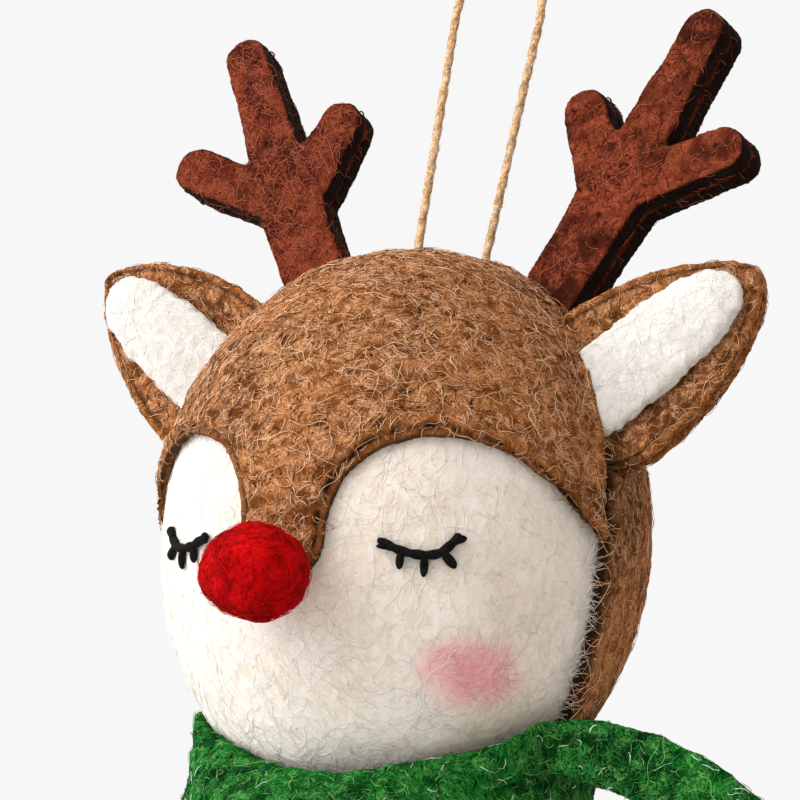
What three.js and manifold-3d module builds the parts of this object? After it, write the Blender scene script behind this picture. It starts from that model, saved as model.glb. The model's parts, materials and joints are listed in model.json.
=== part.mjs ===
// A hanging reindeer ornament of wool felt, in millimetres, +Z up, face towards -Y.
// The egg-shaped head is a hard felted ball. A front cap and a rear hood of brown felt are sewn over it,
// and the antlers, the ears and the twine come out of the seam between the two.
// Everything is first placed about the centre of the head. The origin of the finished part is the top
// of the hanging loop. Left and right are the reindeer's own, so left is +X.
import * as THREE from 'three';
import { mergeVertices } from 'three/addons/utils/BufferGeometryUtils.js';
import Module from 'manifold-3d';

const wasm = await Module();
wasm.setup();

// Clearance between pieces that are sewn or felted together
const GAP = 0.3;

// Points closer than this are one point of a mesh
const MERGE_DISTANCE = 1e-5;

// Facets of round threads and of cut outlines
const THREAD_SIDES = 8;
const ARC_SEGMENTS = 8;

// Head. Places on it are shares of its half width and half height, so they follow its size.
const HEAD_HALF_WIDTH = 31.4;
const HEAD_HALF_HEIGHT = 37.6;
const HEAD_SIDES = 32;
const HEAD_RINGS = 18;
const headX = (share) => share * HEAD_HALF_WIDTH;
const headZ = (share) => share * HEAD_HALF_HEIGHT;

// Brown hood felt, and the arc that its side seam follows when seen from the side
const HOOD_FELT = 1.6;
const SEAM_FORWARD_Y = headX(-0.242);
const SEAM_FORWARD_Z = headZ(0.2394);
const SEAM_ARC_RADIUS = 63;
const SEAM_SIDES = 72;
const HOOD_HEM_Z = headZ(-0.7314);

// Opening of the front cap for the face: a round arch over each eye, and a peak between them
const ARCH_CENTRE_X = headX(0.6242);
const ARCH_CENTRE_Z = headZ(-0.1968);
const ARCH_RADIUS = headX(0.4331);
const ARCH_END_ANGLE = 20;
const PEAK_TIP_Z = headZ(-0.3404);
const PEAK_TIP_HALF_WIDTH = 2;

// Nose ball, half sizes and how far its centre stands off the cap
const NOSE_HALF_WIDTH = 6.85;
const NOSE_HALF_DEPTH = 6.2;
const NOSE_HALF_HEIGHT = 5.8;
const NOSE_CENTRE_Z = headZ(-0.383);
const NOSE_STAND_OFF = 5.2;
const NOSE_SIDES = 22;
const NOSE_RINGS = 12;

// Closed eyes: one lid of thick thread with three lashes. Each place is a share in x and in z of the head.
const EYE_THREAD = 1.1;
const LID_INNER = [0.3822, -0.2181];
const LID_MIDDLE = [0.5382, -0.2394];
const LID_OUTER = [0.6688, -0.1436];
const LID_STEPS = 8;
const LASH_TIPS = [[0.4522, -0.3005], [0.5414, -0.3165], [0.6497, -0.266]];
const LASH_ROOT_SHARES = [0.28, 0.52, 0.86];

// Pink wisps of wool felted into the cheeks. The right one lies further round the side.
const CHEEK_LEFT_X = headX(0.6592);
const CHEEK_RIGHT_X = headX(0.8089);
const CHEEK_Z = headZ(-0.5479);
const CHEEK_HALF_WIDTH = 6.2;
const CHEEK_HALF_HEIGHT = 4.8;
const CHEEK_THICKNESS = 0.5;
const CHEEK_SIDES = 20;
const CHEEK_RINGS = 10;

// Antlers: two layers of stiff felt, cut in one outline of round-ended tapered strips.
// Each strip runs between two circles, given as [x, z, radius] from the place where the beam is seated.
const ANTLER_FELT = 2.95;
const ANTLER_BEHIND_SEAM = 4;
const ANTLER_YAW = 5;
const ANTLER_SEAT_X = headX(0.43);
const ANTLER_SEAT_Z = headZ(0.7181);
const ANTLER_BEAM = [[0, 0, 4.2], [11.7, 22.5, 4.9]];
const ANTLER_MAIN_TINE = [[12.5, 24, 4.3], [21.9, 44.2, 3.1]];
const ANTLER_INNER_TINE = [[9.3, 24.5, 3.8], [5.5, 33.9, 3.2]];
const ANTLER_OUTER_TINE = [[15.1, 22.6, 3.4], [26.8, 26.6, 3.2]];

// Ears: two brown layers with a white lining, cut as leaves and cupped towards the front.
// A leaf is widest where it leaves the head, and drawn in at the root that is sewn into the seam.
// Both are placed by hand, so each has its own base on the head, its own rise, its own lean forward for
// each unit of height above the base, and its own height at which the lining is sewn on.
const EAR_FELT = 1.6;
const EAR_LINING_FELT = 1.5;
const EAR_BEHIND_SEAM = 5.2;
const LEFT_EAR = { baseX: headX(0.86), baseZ: headZ(0.4495), rise: 41.6, lean: 0.02, liningRaise: -0.1 };
const RIGHT_EAR = { baseX: headX(0.8143), baseZ: headZ(0.4987), rise: 36.1, lean: 0.2, liningRaise: -0.7 };
const EAR_LENGTH = 28.3;
const EAR_HALF_WIDTH = 12;
const EAR_ROOT = 9;
const EAR_FULL_AT = 2;
const EAR_TIP_POWER = 2.2;
const EAR_TIP_ROUNDING_POWER = 0.7;
const EAR_CUP = 2.4;
const EAR_TIP_CUP_SHARE = 0.4;
const EAR_RINGS = 10;
const EAR_CELLS = 5;
const LINING_LENGTH = 25.4;
const LINING_HALF_WIDTH = 5.9;
const LINING_TIP_POWER = 4;
const LINING_TIP_ROUNDING_POWER = 0.44;

// Body: a stuffed felt bell on a flat felt disc, set a little behind and beside the middle of the head
const NECK_X = 2.5;
const NECK_Y = 3.2;
const BODY_TOP_Z = headZ(-0.5319);
const BODY_SHOULDER_RADIUS = 23.6;
const BODY_BELLY_RADIUS = 27;
const BODY_BELLY_DROP = 35;
const BODY_HEM_RADIUS = 23.8;
const BODY_HEM_DROP = 54;
const BODY_SIDES = 28;
const BODY_ROWS = 8;
const COLLAR_DROP = 7.5;

// Scarf: a felt strip around the neck, low at the front, with its upper edge drawn in to the chin
const SCARF_FELT = 2.3;
const SCARF_WIDTH = 15;
const SCARF_MEAN_TOP_Z = headZ(-0.6649);
const SCARF_FRONT_DIP = 8.2;
const SCARF_SIDE_RISE = 1.7;
const SCARF_CHIN_LEAN = 4.5;
const SCARF_HOOD_EASE_SHARE = 0.12;
const SCARF_SIDES = 36;
const SCARF_ROWS = 6;

// Free end of the scarf: it lies on the band, then arches out and down as a quarter of an ellipse.
// Angles are measured about the neck from the front, towards the left.
const TAIL_WIDTH = 8.6;
const TAIL_EDGE_FELT = 1.4;
const TAIL_START_WIDTH = 4.4;
const TAIL_FULL_SHARE = 0.5;
const TAIL_START_ANGLE = 50;
const TAIL_START_DROP = 3.4;
const TAIL_LEAVE_ANGLE = 70;
const TAIL_LEAVE_DROP = 1;
const TAIL_HEADING = 96;
const TAIL_REACH = 30.5;
const TAIL_FALL = 18;
const TAIL_LEAN_SLOPE = 0.5;
const TAIL_RINGS = 18;
const TAIL_POINTS = 4;

// Twine: the loop that the ornament hangs by, and what holds it inside the head
const TWINE_DIAMETER = 1.25;
const TWINE_STEPS = 48;
const TWINE_BEHIND_SEAM = 1.53;
const TWINE_LEFT_X = 5.6;
const TWINE_RIGHT_X = -4.9;
const TWINE_END_CLEARANCE = 0.5;
const LOOP_TOP_X = 2.2;
const LOOP_RISE = 49.4;
const KNOT_RADIUS = 3.5;
const KNOT_STEPS = 40;
const KNOT_SIDES = 6;
const KNOT_POCKET_RADIUS = 6.8;
const KNOT_POCKET_DEPTH = 10.1;
const KNOT_POCKET_SIDES = 20;

const felt = (color) => new THREE.MeshStandardMaterial({ color, roughness: 0.95, metalness: 0 });
const BROWN_FELT = felt(0x9a6436);
const DARK_FELT = felt(0x5f2d1c);
const WHITE_FELT = felt(0xf4f2ee);
const CREAM_WOOL = felt(0xf0e8de);
const RED_WOOL = felt(0xc80a10);
const PINK_WOOL = felt(0xf0aab0);
const GREEN_FELT = felt(0x146e28);
const BLACK_THREAD = felt(0x151515);
const TWINE = felt(0xe1c39b);

const radians = THREE.MathUtils.degToRad;
const { lerp, smoothstep } = THREE.MathUtils;

// Booleans

function solid(geometry) {
  const bare = geometry.clone();
  for (const name of Object.keys(bare.attributes)) {
    if (name !== 'position') bare.deleteAttribute(name);
  }
  const merged = mergeVertices(bare, MERGE_DISTANCE);
  return new wasm.Manifold(new wasm.Mesh({
    numProp: 3,
    vertProperties: Float32Array.from(merged.attributes.position.array),
    triVerts: Uint32Array.from(merged.index.array),
  }));
}

function geometryOf(manifold) {
  const { vertProperties, triVerts } = manifold.getMesh();
  const geometry = new THREE.BufferGeometry();
  geometry.setAttribute('position', new THREE.BufferAttribute(vertProperties, 3));
  geometry.setIndex(new THREE.BufferAttribute(triVerts, 1));
  return geometry;
}

function piece(name, manifold, material) {
  const mesh = new THREE.Mesh(geometryOf(manifold), material);
  mesh.name = name;
  return mesh;
}

// The head's egg and what is measured on it

function egg(offset) {
  const ball = new THREE.SphereGeometry(1, HEAD_SIDES, HEAD_RINGS).rotateX(Math.PI / 2);
  ball.scale(HEAD_HALF_WIDTH + offset, HEAD_HALF_WIDTH + offset, HEAD_HALF_HEIGHT + offset);
  return solid(ball);
}

function eggRadius(z, offset) {
  const share = z / (HEAD_HALF_HEIGHT + offset);
  return (HEAD_HALF_WIDTH + offset) * Math.sqrt(Math.max(0, 1 - share * share));
}

function onFace(x, z, offset) {
  const radius = eggRadius(z, offset);
  return new THREE.Vector3(x, -Math.sqrt(radius * radius - x * x), z);
}

function crownHeight(x, y, offset) {
  const share = Math.hypot(x, y) / (HEAD_HALF_WIDTH + offset);
  return (HEAD_HALF_HEIGHT + offset) * Math.sqrt(1 - share * share);
}

const HOOD_OUTSIDE = GAP + HOOD_FELT;
const OVER_HOOD = HOOD_OUTSIDE + GAP;

// Places that follow from the sizes above
function seamY(z) {
  const rise = z - SEAM_FORWARD_Z;
  return SEAM_FORWARD_Y + SEAM_ARC_RADIUS - Math.sqrt(SEAM_ARC_RADIUS ** 2 - rise ** 2);
}

const TWINE_Y = seamY(HEAD_HALF_HEIGHT + HOOD_OUTSIDE) + TWINE_BEHIND_SEAM;
const ANTLER_FRONT_Y = seamY(ANTLER_SEAT_Z) + ANTLER_BEHIND_SEAM;
const BODY_BELLY_Z = SCARF_MEAN_TOP_Z - BODY_BELLY_DROP;
const BODY_HEM_Z = SCARF_MEAN_TOP_Z - BODY_HEM_DROP;
const KNOT_POCKET_FLOOR_Z = HEAD_HALF_HEIGHT - KNOT_POCKET_DEPTH;
const LOOP_TOP_Z = HEAD_HALF_HEIGHT + LOOP_RISE;

// Forms shared by several pieces

// An outline in x and z becomes a plate whose front face is at frontY and whose back is behind it.
function plate(shape, frontY, thickness) {
  const options = { depth: thickness, bevelEnabled: false, curveSegments: ARC_SEGMENTS };
  return new THREE.ExtrudeGeometry(shape, options).rotateX(Math.PI / 2).translate(0, frontY + thickness, 0);
}

// Rings of points, all with the same count, become one closed skin.
function loft(rings, closed) {
  const sides = rings[0].length;
  const points = rings.flat();
  const faces = [];
  const spans = closed ? rings.length : rings.length - 1;
  for (let ring = 0; ring < spans; ring += 1) {
    for (let side = 0; side < sides; side += 1) {
      const near = ring * sides;
      const far = ((ring + 1) % rings.length) * sides;
      const next = (side + 1) % sides;
      faces.push(near + side, near + next, far + next, near + side, far + next, far + side);
    }
  }
  if (!closed) {
    const last = (rings.length - 1) * sides;
    for (let side = 1; side < sides - 1; side += 1) {
      faces.push(0, side + 1, side, last, last + side, last + side + 1);
    }
  }
  let volume = 0;
  for (let face = 0; face < faces.length; face += 3) {
    const [a, b, c] = faces.slice(face, face + 3).map((corner) => points[corner]);
    volume += a.dot(b.clone().cross(c));
  }
  if (volume < 0) faces.reverse();
  const geometry = new THREE.BufferGeometry().setFromPoints(points);
  geometry.setIndex(faces);
  return geometry;
}

// A round section is split into twice its curveSegments.
function tube(curve, diameter, steps) {
  const section = new THREE.Shape().absarc(0, 0, diameter / 2, 0, 2 * Math.PI);
  return new THREE.ExtrudeGeometry(section, { extrudePath: curve, steps, curveSegments: THREAD_SIDES / 2 });
}

// Head ball, with a pocket under the crown for the twine's knot

const twineMiddleX = (TWINE_LEFT_X + TWINE_RIGHT_X) / 2;

function headBall() {
  const depth = KNOT_POCKET_DEPTH + GAP;
  const pocket = new THREE.CylinderGeometry(KNOT_POCKET_RADIUS, KNOT_POCKET_RADIUS, depth, KNOT_POCKET_SIDES);
  pocket.rotateX(Math.PI / 2).translate(twineMiddleX, TWINE_Y, KNOT_POCKET_FLOOR_Z + depth / 2);
  return egg(0).subtract(solid(pocket));
}

// Hood

function seamCylinder(offset) {
  const length = 4 * HEAD_HALF_WIDTH;
  const radius = SEAM_ARC_RADIUS + offset;
  const cylinder = new THREE.CylinderGeometry(radius, radius, length, SEAM_SIDES).rotateZ(Math.PI / 2);
  return solid(cylinder.translate(0, SEAM_FORWARD_Y + SEAM_ARC_RADIUS, SEAM_FORWARD_Z));
}

function faceOpening() {
  const far = 3 * HEAD_HALF_HEIGHT;
  const endAngle = radians(ARCH_END_ANGLE);
  const endX = ARCH_CENTRE_X + ARCH_RADIUS * Math.cos(endAngle);
  const endZ = ARCH_CENTRE_Z + ARCH_RADIUS * Math.sin(endAngle);
  const peakX = ARCH_CENTRE_X - ARCH_RADIUS;
  const shape = new THREE.Shape();
  shape.moveTo(-far, -far);
  shape.lineTo(far, -far);
  shape.lineTo(far, endZ);
  shape.lineTo(endX, endZ);
  shape.absarc(ARCH_CENTRE_X, ARCH_CENTRE_Z, ARCH_RADIUS, endAngle, Math.PI, false);
  shape.quadraticCurveTo(peakX, PEAK_TIP_Z, PEAK_TIP_HALF_WIDTH, PEAK_TIP_Z);
  shape.lineTo(-PEAK_TIP_HALF_WIDTH, PEAK_TIP_Z);
  shape.quadraticCurveTo(-peakX, PEAK_TIP_Z, -peakX, ARCH_CENTRE_Z);
  shape.absarc(-ARCH_CENTRE_X, ARCH_CENTRE_Z, ARCH_RADIUS, 0, Math.PI - endAngle, false);
  shape.lineTo(-far, endZ);
  return solid(plate(shape, -far, far + HEAD_HALF_WIDTH));
}

function hoodShell() {
  return egg(HOOD_OUTSIDE).subtract(egg(GAP));
}

function frontCap() {
  return hoodShell().subtract(seamCylinder(0)).subtract(faceOpening());
}

function rearHood(passages) {
  const size = 4 * HEAD_HALF_HEIGHT;
  const below = new THREE.BoxGeometry(size, size, size).translate(0, 0, HOOD_HEM_Z - size / 2);
  let hood = hoodShell().intersect(seamCylinder(-GAP)).subtract(solid(below));
  for (const passage of passages) hood = hood.subtract(passage);
  return hood;
}

// Space that the front cap and the ball under it take up, with clearance
const capSpace = egg(OVER_HOOD).subtract(seamCylinder(-GAP)).add(egg(GAP));

// Space that the rear hood and the ball under it take up below the ears, with clearance
function neckSpace(grow) {
  return egg(OVER_HOOD + grow).intersect(seamCylinder(GAP + grow)).add(egg(GAP + grow));
}

// Face

function noseBall() {
  const ball = new THREE.SphereGeometry(1, NOSE_SIDES, NOSE_RINGS).rotateX(Math.PI / 2);
  ball.scale(NOSE_HALF_WIDTH, NOSE_HALF_DEPTH, NOSE_HALF_HEIGHT);
  const seatY = eggRadius(NOSE_CENTRE_Z, HOOD_OUTSIDE);
  ball.translate(0, -seatY - NOSE_STAND_OFF, NOSE_CENTRE_Z);
  return solid(ball).subtract(egg(OVER_HOOD));
}

function closedEye(side) {
  const lift = GAP + EYE_THREAD / 2;
  const place = ([x, z]) => onFace(headX(x), headZ(z), lift).multiply(new THREE.Vector3(side, 1, 1));
  const lid = new THREE.CatmullRomCurve3([LID_INNER, LID_MIDDLE, LID_OUTER].map(place));
  let eye = solid(tube(lid, EYE_THREAD, LID_STEPS));
  LASH_TIPS.forEach((tip, index) => {
    const lash = new THREE.LineCurve3(lid.getPoint(LASH_ROOT_SHARES[index]), place(tip));
    eye = eye.add(solid(tube(lash, EYE_THREAD, 1)));
  });
  return eye;
}

function cheekWisp(x) {
  const blob = new THREE.SphereGeometry(1, CHEEK_SIDES, CHEEK_RINGS);
  blob.scale(CHEEK_HALF_WIDTH, CHEEK_HALF_WIDTH, CHEEK_HALF_HEIGHT);
  const { y, z } = onFace(x, CHEEK_Z, GAP);
  blob.translate(x, y, z);
  return egg(GAP + CHEEK_THICKNESS).subtract(egg(GAP)).intersect(solid(blob));
}

// Antlers

function taperedStrip([[x0, z0, r0], [x1, z1, r1]], side, grow) {
  const along = Math.atan2(z1 - z0, side * (x1 - x0));
  const lean = Math.acos((r0 - r1) / Math.hypot(x1 - x0, z1 - z0));
  const shape = new THREE.Shape();
  shape.absarc(side * x1, z1, r1 + grow, along - lean, along + lean, false);
  shape.absarc(side * x0, z0, r0 + grow, along + lean, along - lean + 2 * Math.PI, false);
  return shape;
}

function antlerBlank(side, frontY, thickness, grow) {
  const strips = [ANTLER_BEAM, ANTLER_MAIN_TINE, ANTLER_INNER_TINE, ANTLER_OUTER_TINE];
  const plates = strips.map((strip) => solid(plate(taperedStrip(strip, side, grow), frontY, thickness)));
  const outline = geometryOf(plates.reduce((joined, next) => joined.add(next)));
  outline.rotateZ(-side * radians(ANTLER_YAW)).translate(side * ANTLER_SEAT_X, 0, ANTLER_SEAT_Z);
  return solid(outline);
}

const antlerLayer = (side, frontY) => antlerBlank(side, frontY, ANTLER_FELT, 0).subtract(egg(GAP));
const antlerBackY = ANTLER_FRONT_Y + ANTLER_FELT + GAP;
const passageDepth = 2 * ANTLER_FELT + 3 * GAP;
const antlerPassage = (side) => antlerBlank(side, ANTLER_FRONT_Y - GAP, passageDepth, GAP);

// Ears. A layer is a cupped leaf: along runs from the root to the tip, across from edge to edge.

function leafHalfWidth(along, length, { halfWidth, tipPower, roundingPower }) {
  const share = Math.min(1, Math.max(0, along / length));
  const tip = (1 - share ** tipPower) ** roundingPower;
  const root = (1 + smoothstep(along, -EAR_ROOT, EAR_FULL_AT)) / 2;
  return halfWidth * tip * root;
}

const earOf = (side) => (side > 0 ? LEFT_EAR : RIGHT_EAR);

function earPoint(side, along, across, lift) {
  const { baseX, baseZ, lean, rise } = earOf(side);
  const outwards = Math.cos(radians(rise));
  const upwards = Math.sin(radians(rise));
  const edge = across / EAR_HALF_WIDTH;
  const towardsTip = Math.max(0, along / EAR_LENGTH);
  const cup = EAR_CUP * edge * edge * lerp(1, EAR_TIP_CUP_SHARE, towardsTip);
  const x = baseX + along * outwards - across * upwards;
  const above = along * upwards + across * outwards;
  const backY = seamY(baseZ) + EAR_BEHIND_SEAM - lean * above;
  return new THREE.Vector3(side * x, backY - lift - cup, baseZ + above);
}

function earBlank(side, leaf) {
  const { length, raise, lift, thickness, grow } = leaf;
  const rings = [];
  for (let ring = 0; ring <= EAR_RINGS; ring += 1) {
    const share = ring / EAR_RINGS;
    const along = -EAR_ROOT + (length + grow + EAR_ROOT) * Math.sin(share * Math.PI / 2);
    const half = Math.max(GAP, leafHalfWidth(along, length + grow, leaf)) + grow;
    const front = [];
    const back = [];
    for (let cell = 0; cell <= EAR_CELLS; cell += 1) {
      const across = raise + half * (2 * cell / EAR_CELLS - 1);
      front.push(earPoint(side, along, across, lift + thickness + grow));
      back.unshift(earPoint(side, along, across, lift - grow));
    }
    rings.push([...front, ...back]);
  }
  return solid(loft(rings, false));
}

const earLayer = (side, layer) => earBlank(side, layer).subtract(capSpace);
const earLeaf = {
  length: EAR_LENGTH,
  halfWidth: EAR_HALF_WIDTH,
  tipPower: EAR_TIP_POWER,
  roundingPower: EAR_TIP_ROUNDING_POWER,
  raise: 0,
  thickness: EAR_FELT,
  grow: 0,
};
const earBack = { ...earLeaf, lift: 0 };
const earFront = { ...earLeaf, lift: EAR_FELT + GAP };
const liningLift = 2 * (EAR_FELT + GAP);
const earLining = (side) => ({
  ...earLeaf,
  length: LINING_LENGTH,
  halfWidth: LINING_HALF_WIDTH,
  tipPower: LINING_TIP_POWER,
  roundingPower: LINING_TIP_ROUNDING_POWER,
  raise: earOf(side).liningRaise,
  lift: liningLift,
  thickness: EAR_LINING_FELT,
});
const earThickness = liningLift + EAR_LINING_FELT;
const earPassage = (side) => earBlank(side, { ...earLeaf, lift: 0, thickness: earThickness, grow: GAP });

// Body, cut to the head that sits on it and to the slanting line of the scarf

const collarSlope = Math.atan2(SCARF_FRONT_DIP, BODY_SHOULDER_RADIUS);

function bodyBell(inset, bottomZ) {
  const side = new THREE.SplineCurve([
    new THREE.Vector2(BODY_HEM_RADIUS - inset, BODY_HEM_Z),
    new THREE.Vector2(BODY_BELLY_RADIUS - inset, BODY_BELLY_Z),
    new THREE.Vector2(BODY_SHOULDER_RADIUS - inset, SCARF_MEAN_TOP_Z - SCARF_WIDTH / 2),
    new THREE.Vector2(BODY_SHOULDER_RADIUS - inset, BODY_TOP_Z),
  ]).getPoints(BODY_ROWS);
  const profile = [new THREE.Vector2(0, bottomZ)];
  if (bottomZ < BODY_HEM_Z) profile.push(new THREE.Vector2(BODY_HEM_RADIUS - inset, bottomZ));
  profile.push(...side, new THREE.Vector2(0, BODY_TOP_Z));
  const bell = new THREE.LatheGeometry(profile, BODY_SIDES).rotateX(Math.PI / 2).translate(NECK_X, NECK_Y, 0);
  const size = 4 * HEAD_HALF_HEIGHT;
  const above = new THREE.BoxGeometry(size, size, size).translate(0, 0, size / 2 - inset);
  above.rotateX(collarSlope).translate(NECK_X, NECK_Y, SCARF_MEAN_TOP_Z - COLLAR_DROP);
  return solid(bell).subtract(neckSpace(inset)).subtract(solid(above));
}

function bodyCover() {
  return bodyBell(0, BODY_HEM_Z).subtract(bodyBell(HOOD_FELT, BODY_HEM_Z - HOOD_FELT));
}

function baseDisc() {
  const disc = new THREE.CylinderGeometry(BODY_HEM_RADIUS, BODY_HEM_RADIUS, HOOD_FELT, BODY_SIDES);
  return solid(disc.rotateX(Math.PI / 2).translate(NECK_X, NECK_Y, BODY_HEM_Z - GAP - HOOD_FELT / 2));
}

// Scarf. Its places are given about the neck: an angle from the front towards the left, a radius and z.

function aroundNeck(angle, radius, z) {
  return new THREE.Vector3(NECK_X + radius * Math.sin(angle), NECK_Y - radius * Math.cos(angle), z);
}

function scarfTop(angle) {
  return SCARF_MEAN_TOP_Z - SCARF_FRONT_DIP * Math.cos(angle) - SCARF_SIDE_RISE * Math.cos(2 * angle);
}

// Distance from the neck's axis to the head, or to the hood over it
function headReach(angle, z, offset) {
  const radius = eggRadius(z, offset);
  const beside = Math.hypot(NECK_X, NECK_Y);
  if (radius <= beside) return 0;
  const towards = NECK_X * Math.sin(angle) - NECK_Y * Math.cos(angle);
  return -towards + Math.sqrt(towards ** 2 - beside ** 2 + radius ** 2);
}

function scarfInside(angle, below) {
  const z = scarfTop(angle) - below;
  const behind = smoothstep(-Math.cos(angle), -SCARF_HOOD_EASE_SHARE, SCARF_HOOD_EASE_SHARE);
  const head = headReach(angle, z, lerp(GAP, OVER_HOOD, behind));
  const spread = smoothstep(-z, SCARF_WIDTH / 2 - SCARF_MEAN_TOP_Z, -BODY_BELLY_Z);
  const bell = lerp(BODY_SHOULDER_RADIUS, BODY_BELLY_RADIUS, spread);
  const lean = SCARF_CHIN_LEAN * Math.max(0, Math.cos(angle)) * (1 - below / SCARF_WIDTH) ** 3;
  return Math.max(head, bell - lean) + GAP;
}

function scarfBlank(thickness) {
  const rings = [];
  for (let side = 0; side < SCARF_SIDES; side += 1) {
    const angle = 2 * Math.PI * side / SCARF_SIDES;
    const inner = [];
    const outer = [];
    for (let row = 0; row < SCARF_ROWS; row += 1) {
      const below = SCARF_WIDTH * row / (SCARF_ROWS - 1);
      const radius = scarfInside(angle, below);
      inner.push(aroundNeck(angle, radius, scarfTop(angle) - below));
      outer.unshift(aroundNeck(angle, radius + thickness, scarfTop(angle) - below));
    }
    rings.push([...inner, ...outer]);
  }
  return solid(loft(rings, true));
}

function scarfBand() {
  return scarfBlank(SCARF_FELT).subtract(neckSpace(0)).subtract(bodyBell(-GAP, BODY_HEM_Z));
}

function tailLine() {
  const points = [];
  for (let step = 0; step <= TAIL_POINTS; step += 1) {
    const angle = radians(lerp(TAIL_START_ANGLE, TAIL_LEAVE_ANGLE, step / TAIL_POINTS));
    const drop = lerp(TAIL_START_DROP, TAIL_LEAVE_DROP, step / TAIL_POINTS);
    const onBand = scarfInside(angle, drop) + SCARF_FELT + GAP + SCARF_FELT / 2;
    points.push(aroundNeck(angle, onBand, scarfTop(angle) - drop));
  }
  const leave = points[TAIL_POINTS];
  const heading = radians(TAIL_HEADING);
  for (let step = 1; step <= TAIL_POINTS; step += 1) {
    const turn = step / TAIL_POINTS * Math.PI / 2;
    const out = TAIL_REACH * Math.sin(turn);
    const fall = TAIL_FALL * (1 - Math.cos(turn));
    const { x, y, z } = leave;
    points.push(new THREE.Vector3(x + out * Math.sin(heading), y - out * Math.cos(heading), z - fall));
  }
  return new THREE.CatmullRomCurve3(points);
}

function scarfTail() {
  const line = tailLine();
  const rings = [];
  for (let ring = 0; ring <= TAIL_RINGS; ring += 1) {
    const share = ring / TAIL_RINGS;
    const middle = line.getPointAt(share);
    const along = line.getTangentAt(share);
    const across = new THREE.Vector3(TAIL_LEAN_SLOPE * share, 0, 1);
    const width = lerp(TAIL_START_WIDTH, TAIL_WIDTH, smoothstep(share, 0, TAIL_FULL_SHARE));
    across.addScaledVector(along, -across.dot(along)).setLength(width / 2);
    const through = along.clone().cross(across).normalize();
    const corner = (edge, thick) => middle.clone().addScaledVector(across, edge)
      .addScaledVector(through, thick / 2);
    rings.push([
      corner(-1, -TAIL_EDGE_FELT),
      corner(0, -SCARF_FELT),
      corner(1, -TAIL_EDGE_FELT),
      corner(1, TAIL_EDGE_FELT),
      corner(0, SCARF_FELT),
      corner(-1, TAIL_EDGE_FELT),
    ]);
  }
  return solid(loft(rings, false)).subtract(scarfBlank(SCARF_FELT + GAP));
}

// Twine

// Each place is [x, height above the ball's crown].
const twineEnd = (x) => [x, crownHeight(x, TWINE_Y, HOOD_OUTSIDE) + TWINE_END_CLEARANCE - HEAD_HALF_HEIGHT];
const TWINE_ROUTE = [
  twineEnd(TWINE_RIGHT_X),
  [-4.85, 8.4],
  [-4.75, 16.4],
  [-4.65, 24.4],
  [-4.55, 32.4],
  [-4.45, 39.4],
  [-3.9, 44],
  [-1.8, 47.8],
  [LOOP_TOP_X, LOOP_RISE],
  [6.2, 47.8],
  [8.3, 44],
  [8.8, 39.4],
  [8.2, 32.4],
  [7.5, 24.4],
  [6.85, 16.4],
  [6.2, 8.4],
  twineEnd(TWINE_LEFT_X),
];

function twineLoop() {
  const route = TWINE_ROUTE.map(([x, rise]) => new THREE.Vector3(x, TWINE_Y, HEAD_HALF_HEIGHT + rise));
  return solid(tube(new THREE.CatmullRomCurve3(route), TWINE_DIAMETER, TWINE_STEPS));
}

const knotZ = KNOT_POCKET_FLOOR_Z + GAP + KNOT_RADIUS / 2 + TWINE_DIAMETER / 2;

function twineKnot() {
  const knot = new THREE.TorusKnotGeometry(KNOT_RADIUS, TWINE_DIAMETER / 2, KNOT_STEPS, KNOT_SIDES);
  return solid(knot.translate(twineMiddleX, TWINE_Y, knotZ));
}

function twineRod(x, diameter, top) {
  const bottom = knotZ + KNOT_RADIUS / 2 + TWINE_DIAMETER / 2 + GAP;
  const rod = new THREE.CylinderGeometry(diameter / 2, diameter / 2, top - bottom, THREAD_SIDES);
  return solid(rod.rotateX(Math.PI / 2).translate(x, TWINE_Y, (top + bottom) / 2));
}

function twineLead(x) {
  return twineRod(x, TWINE_DIAMETER, crownHeight(x, TWINE_Y, HOOD_OUTSIDE) - GAP);
}

function twineHole(x) {
  return twineRod(x, TWINE_DIAMETER + 2 * GAP, HEAD_HALF_HEIGHT + 2 * OVER_HOOD);
}

// Assembly

const ornament = new THREE.Group();
const sides = [['left', 1], ['right', -1]];
const passages = sides.flatMap(([, side]) => [antlerPassage(side), earPassage(side)]);
passages.push(twineHole(TWINE_LEFT_X), twineHole(TWINE_RIGHT_X));

ornament.add(piece('head_ball', headBall(), CREAM_WOOL));
ornament.add(piece('hood_front', frontCap(), BROWN_FELT));
ornament.add(piece('hood_back', rearHood(passages), BROWN_FELT));
ornament.add(piece('nose_ball', noseBall(), RED_WOOL));
ornament.add(piece('cheek_left', cheekWisp(CHEEK_LEFT_X), PINK_WOOL));
ornament.add(piece('cheek_right', cheekWisp(-CHEEK_RIGHT_X), PINK_WOOL));
for (const [name, side] of sides) {
  ornament.add(piece(`eye_${name}`, closedEye(side), BLACK_THREAD));
  ornament.add(piece(`antler_${name}_front`, antlerLayer(side, ANTLER_FRONT_Y), DARK_FELT));
  ornament.add(piece(`antler_${name}_back`, antlerLayer(side, antlerBackY), DARK_FELT));
  ornament.add(piece(`ear_${name}_back`, earLayer(side, earBack), BROWN_FELT));
  ornament.add(piece(`ear_${name}_front`, earLayer(side, earFront), BROWN_FELT));
  ornament.add(piece(`ear_${name}_lining`, earLayer(side, earLining(side)), WHITE_FELT));
}
ornament.add(piece('body_cover', bodyCover(), BROWN_FELT));
ornament.add(piece('body_filling', bodyBell(HOOD_FELT + GAP, BODY_HEM_Z), CREAM_WOOL));
ornament.add(piece('base_disc', baseDisc(), BROWN_FELT));
ornament.add(piece('scarf_band', scarfBand(), GREEN_FELT));
ornament.add(piece('scarf_tail', scarfTail(), GREEN_FELT));
ornament.add(piece('twine_knot', twineKnot(), TWINE));
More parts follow.
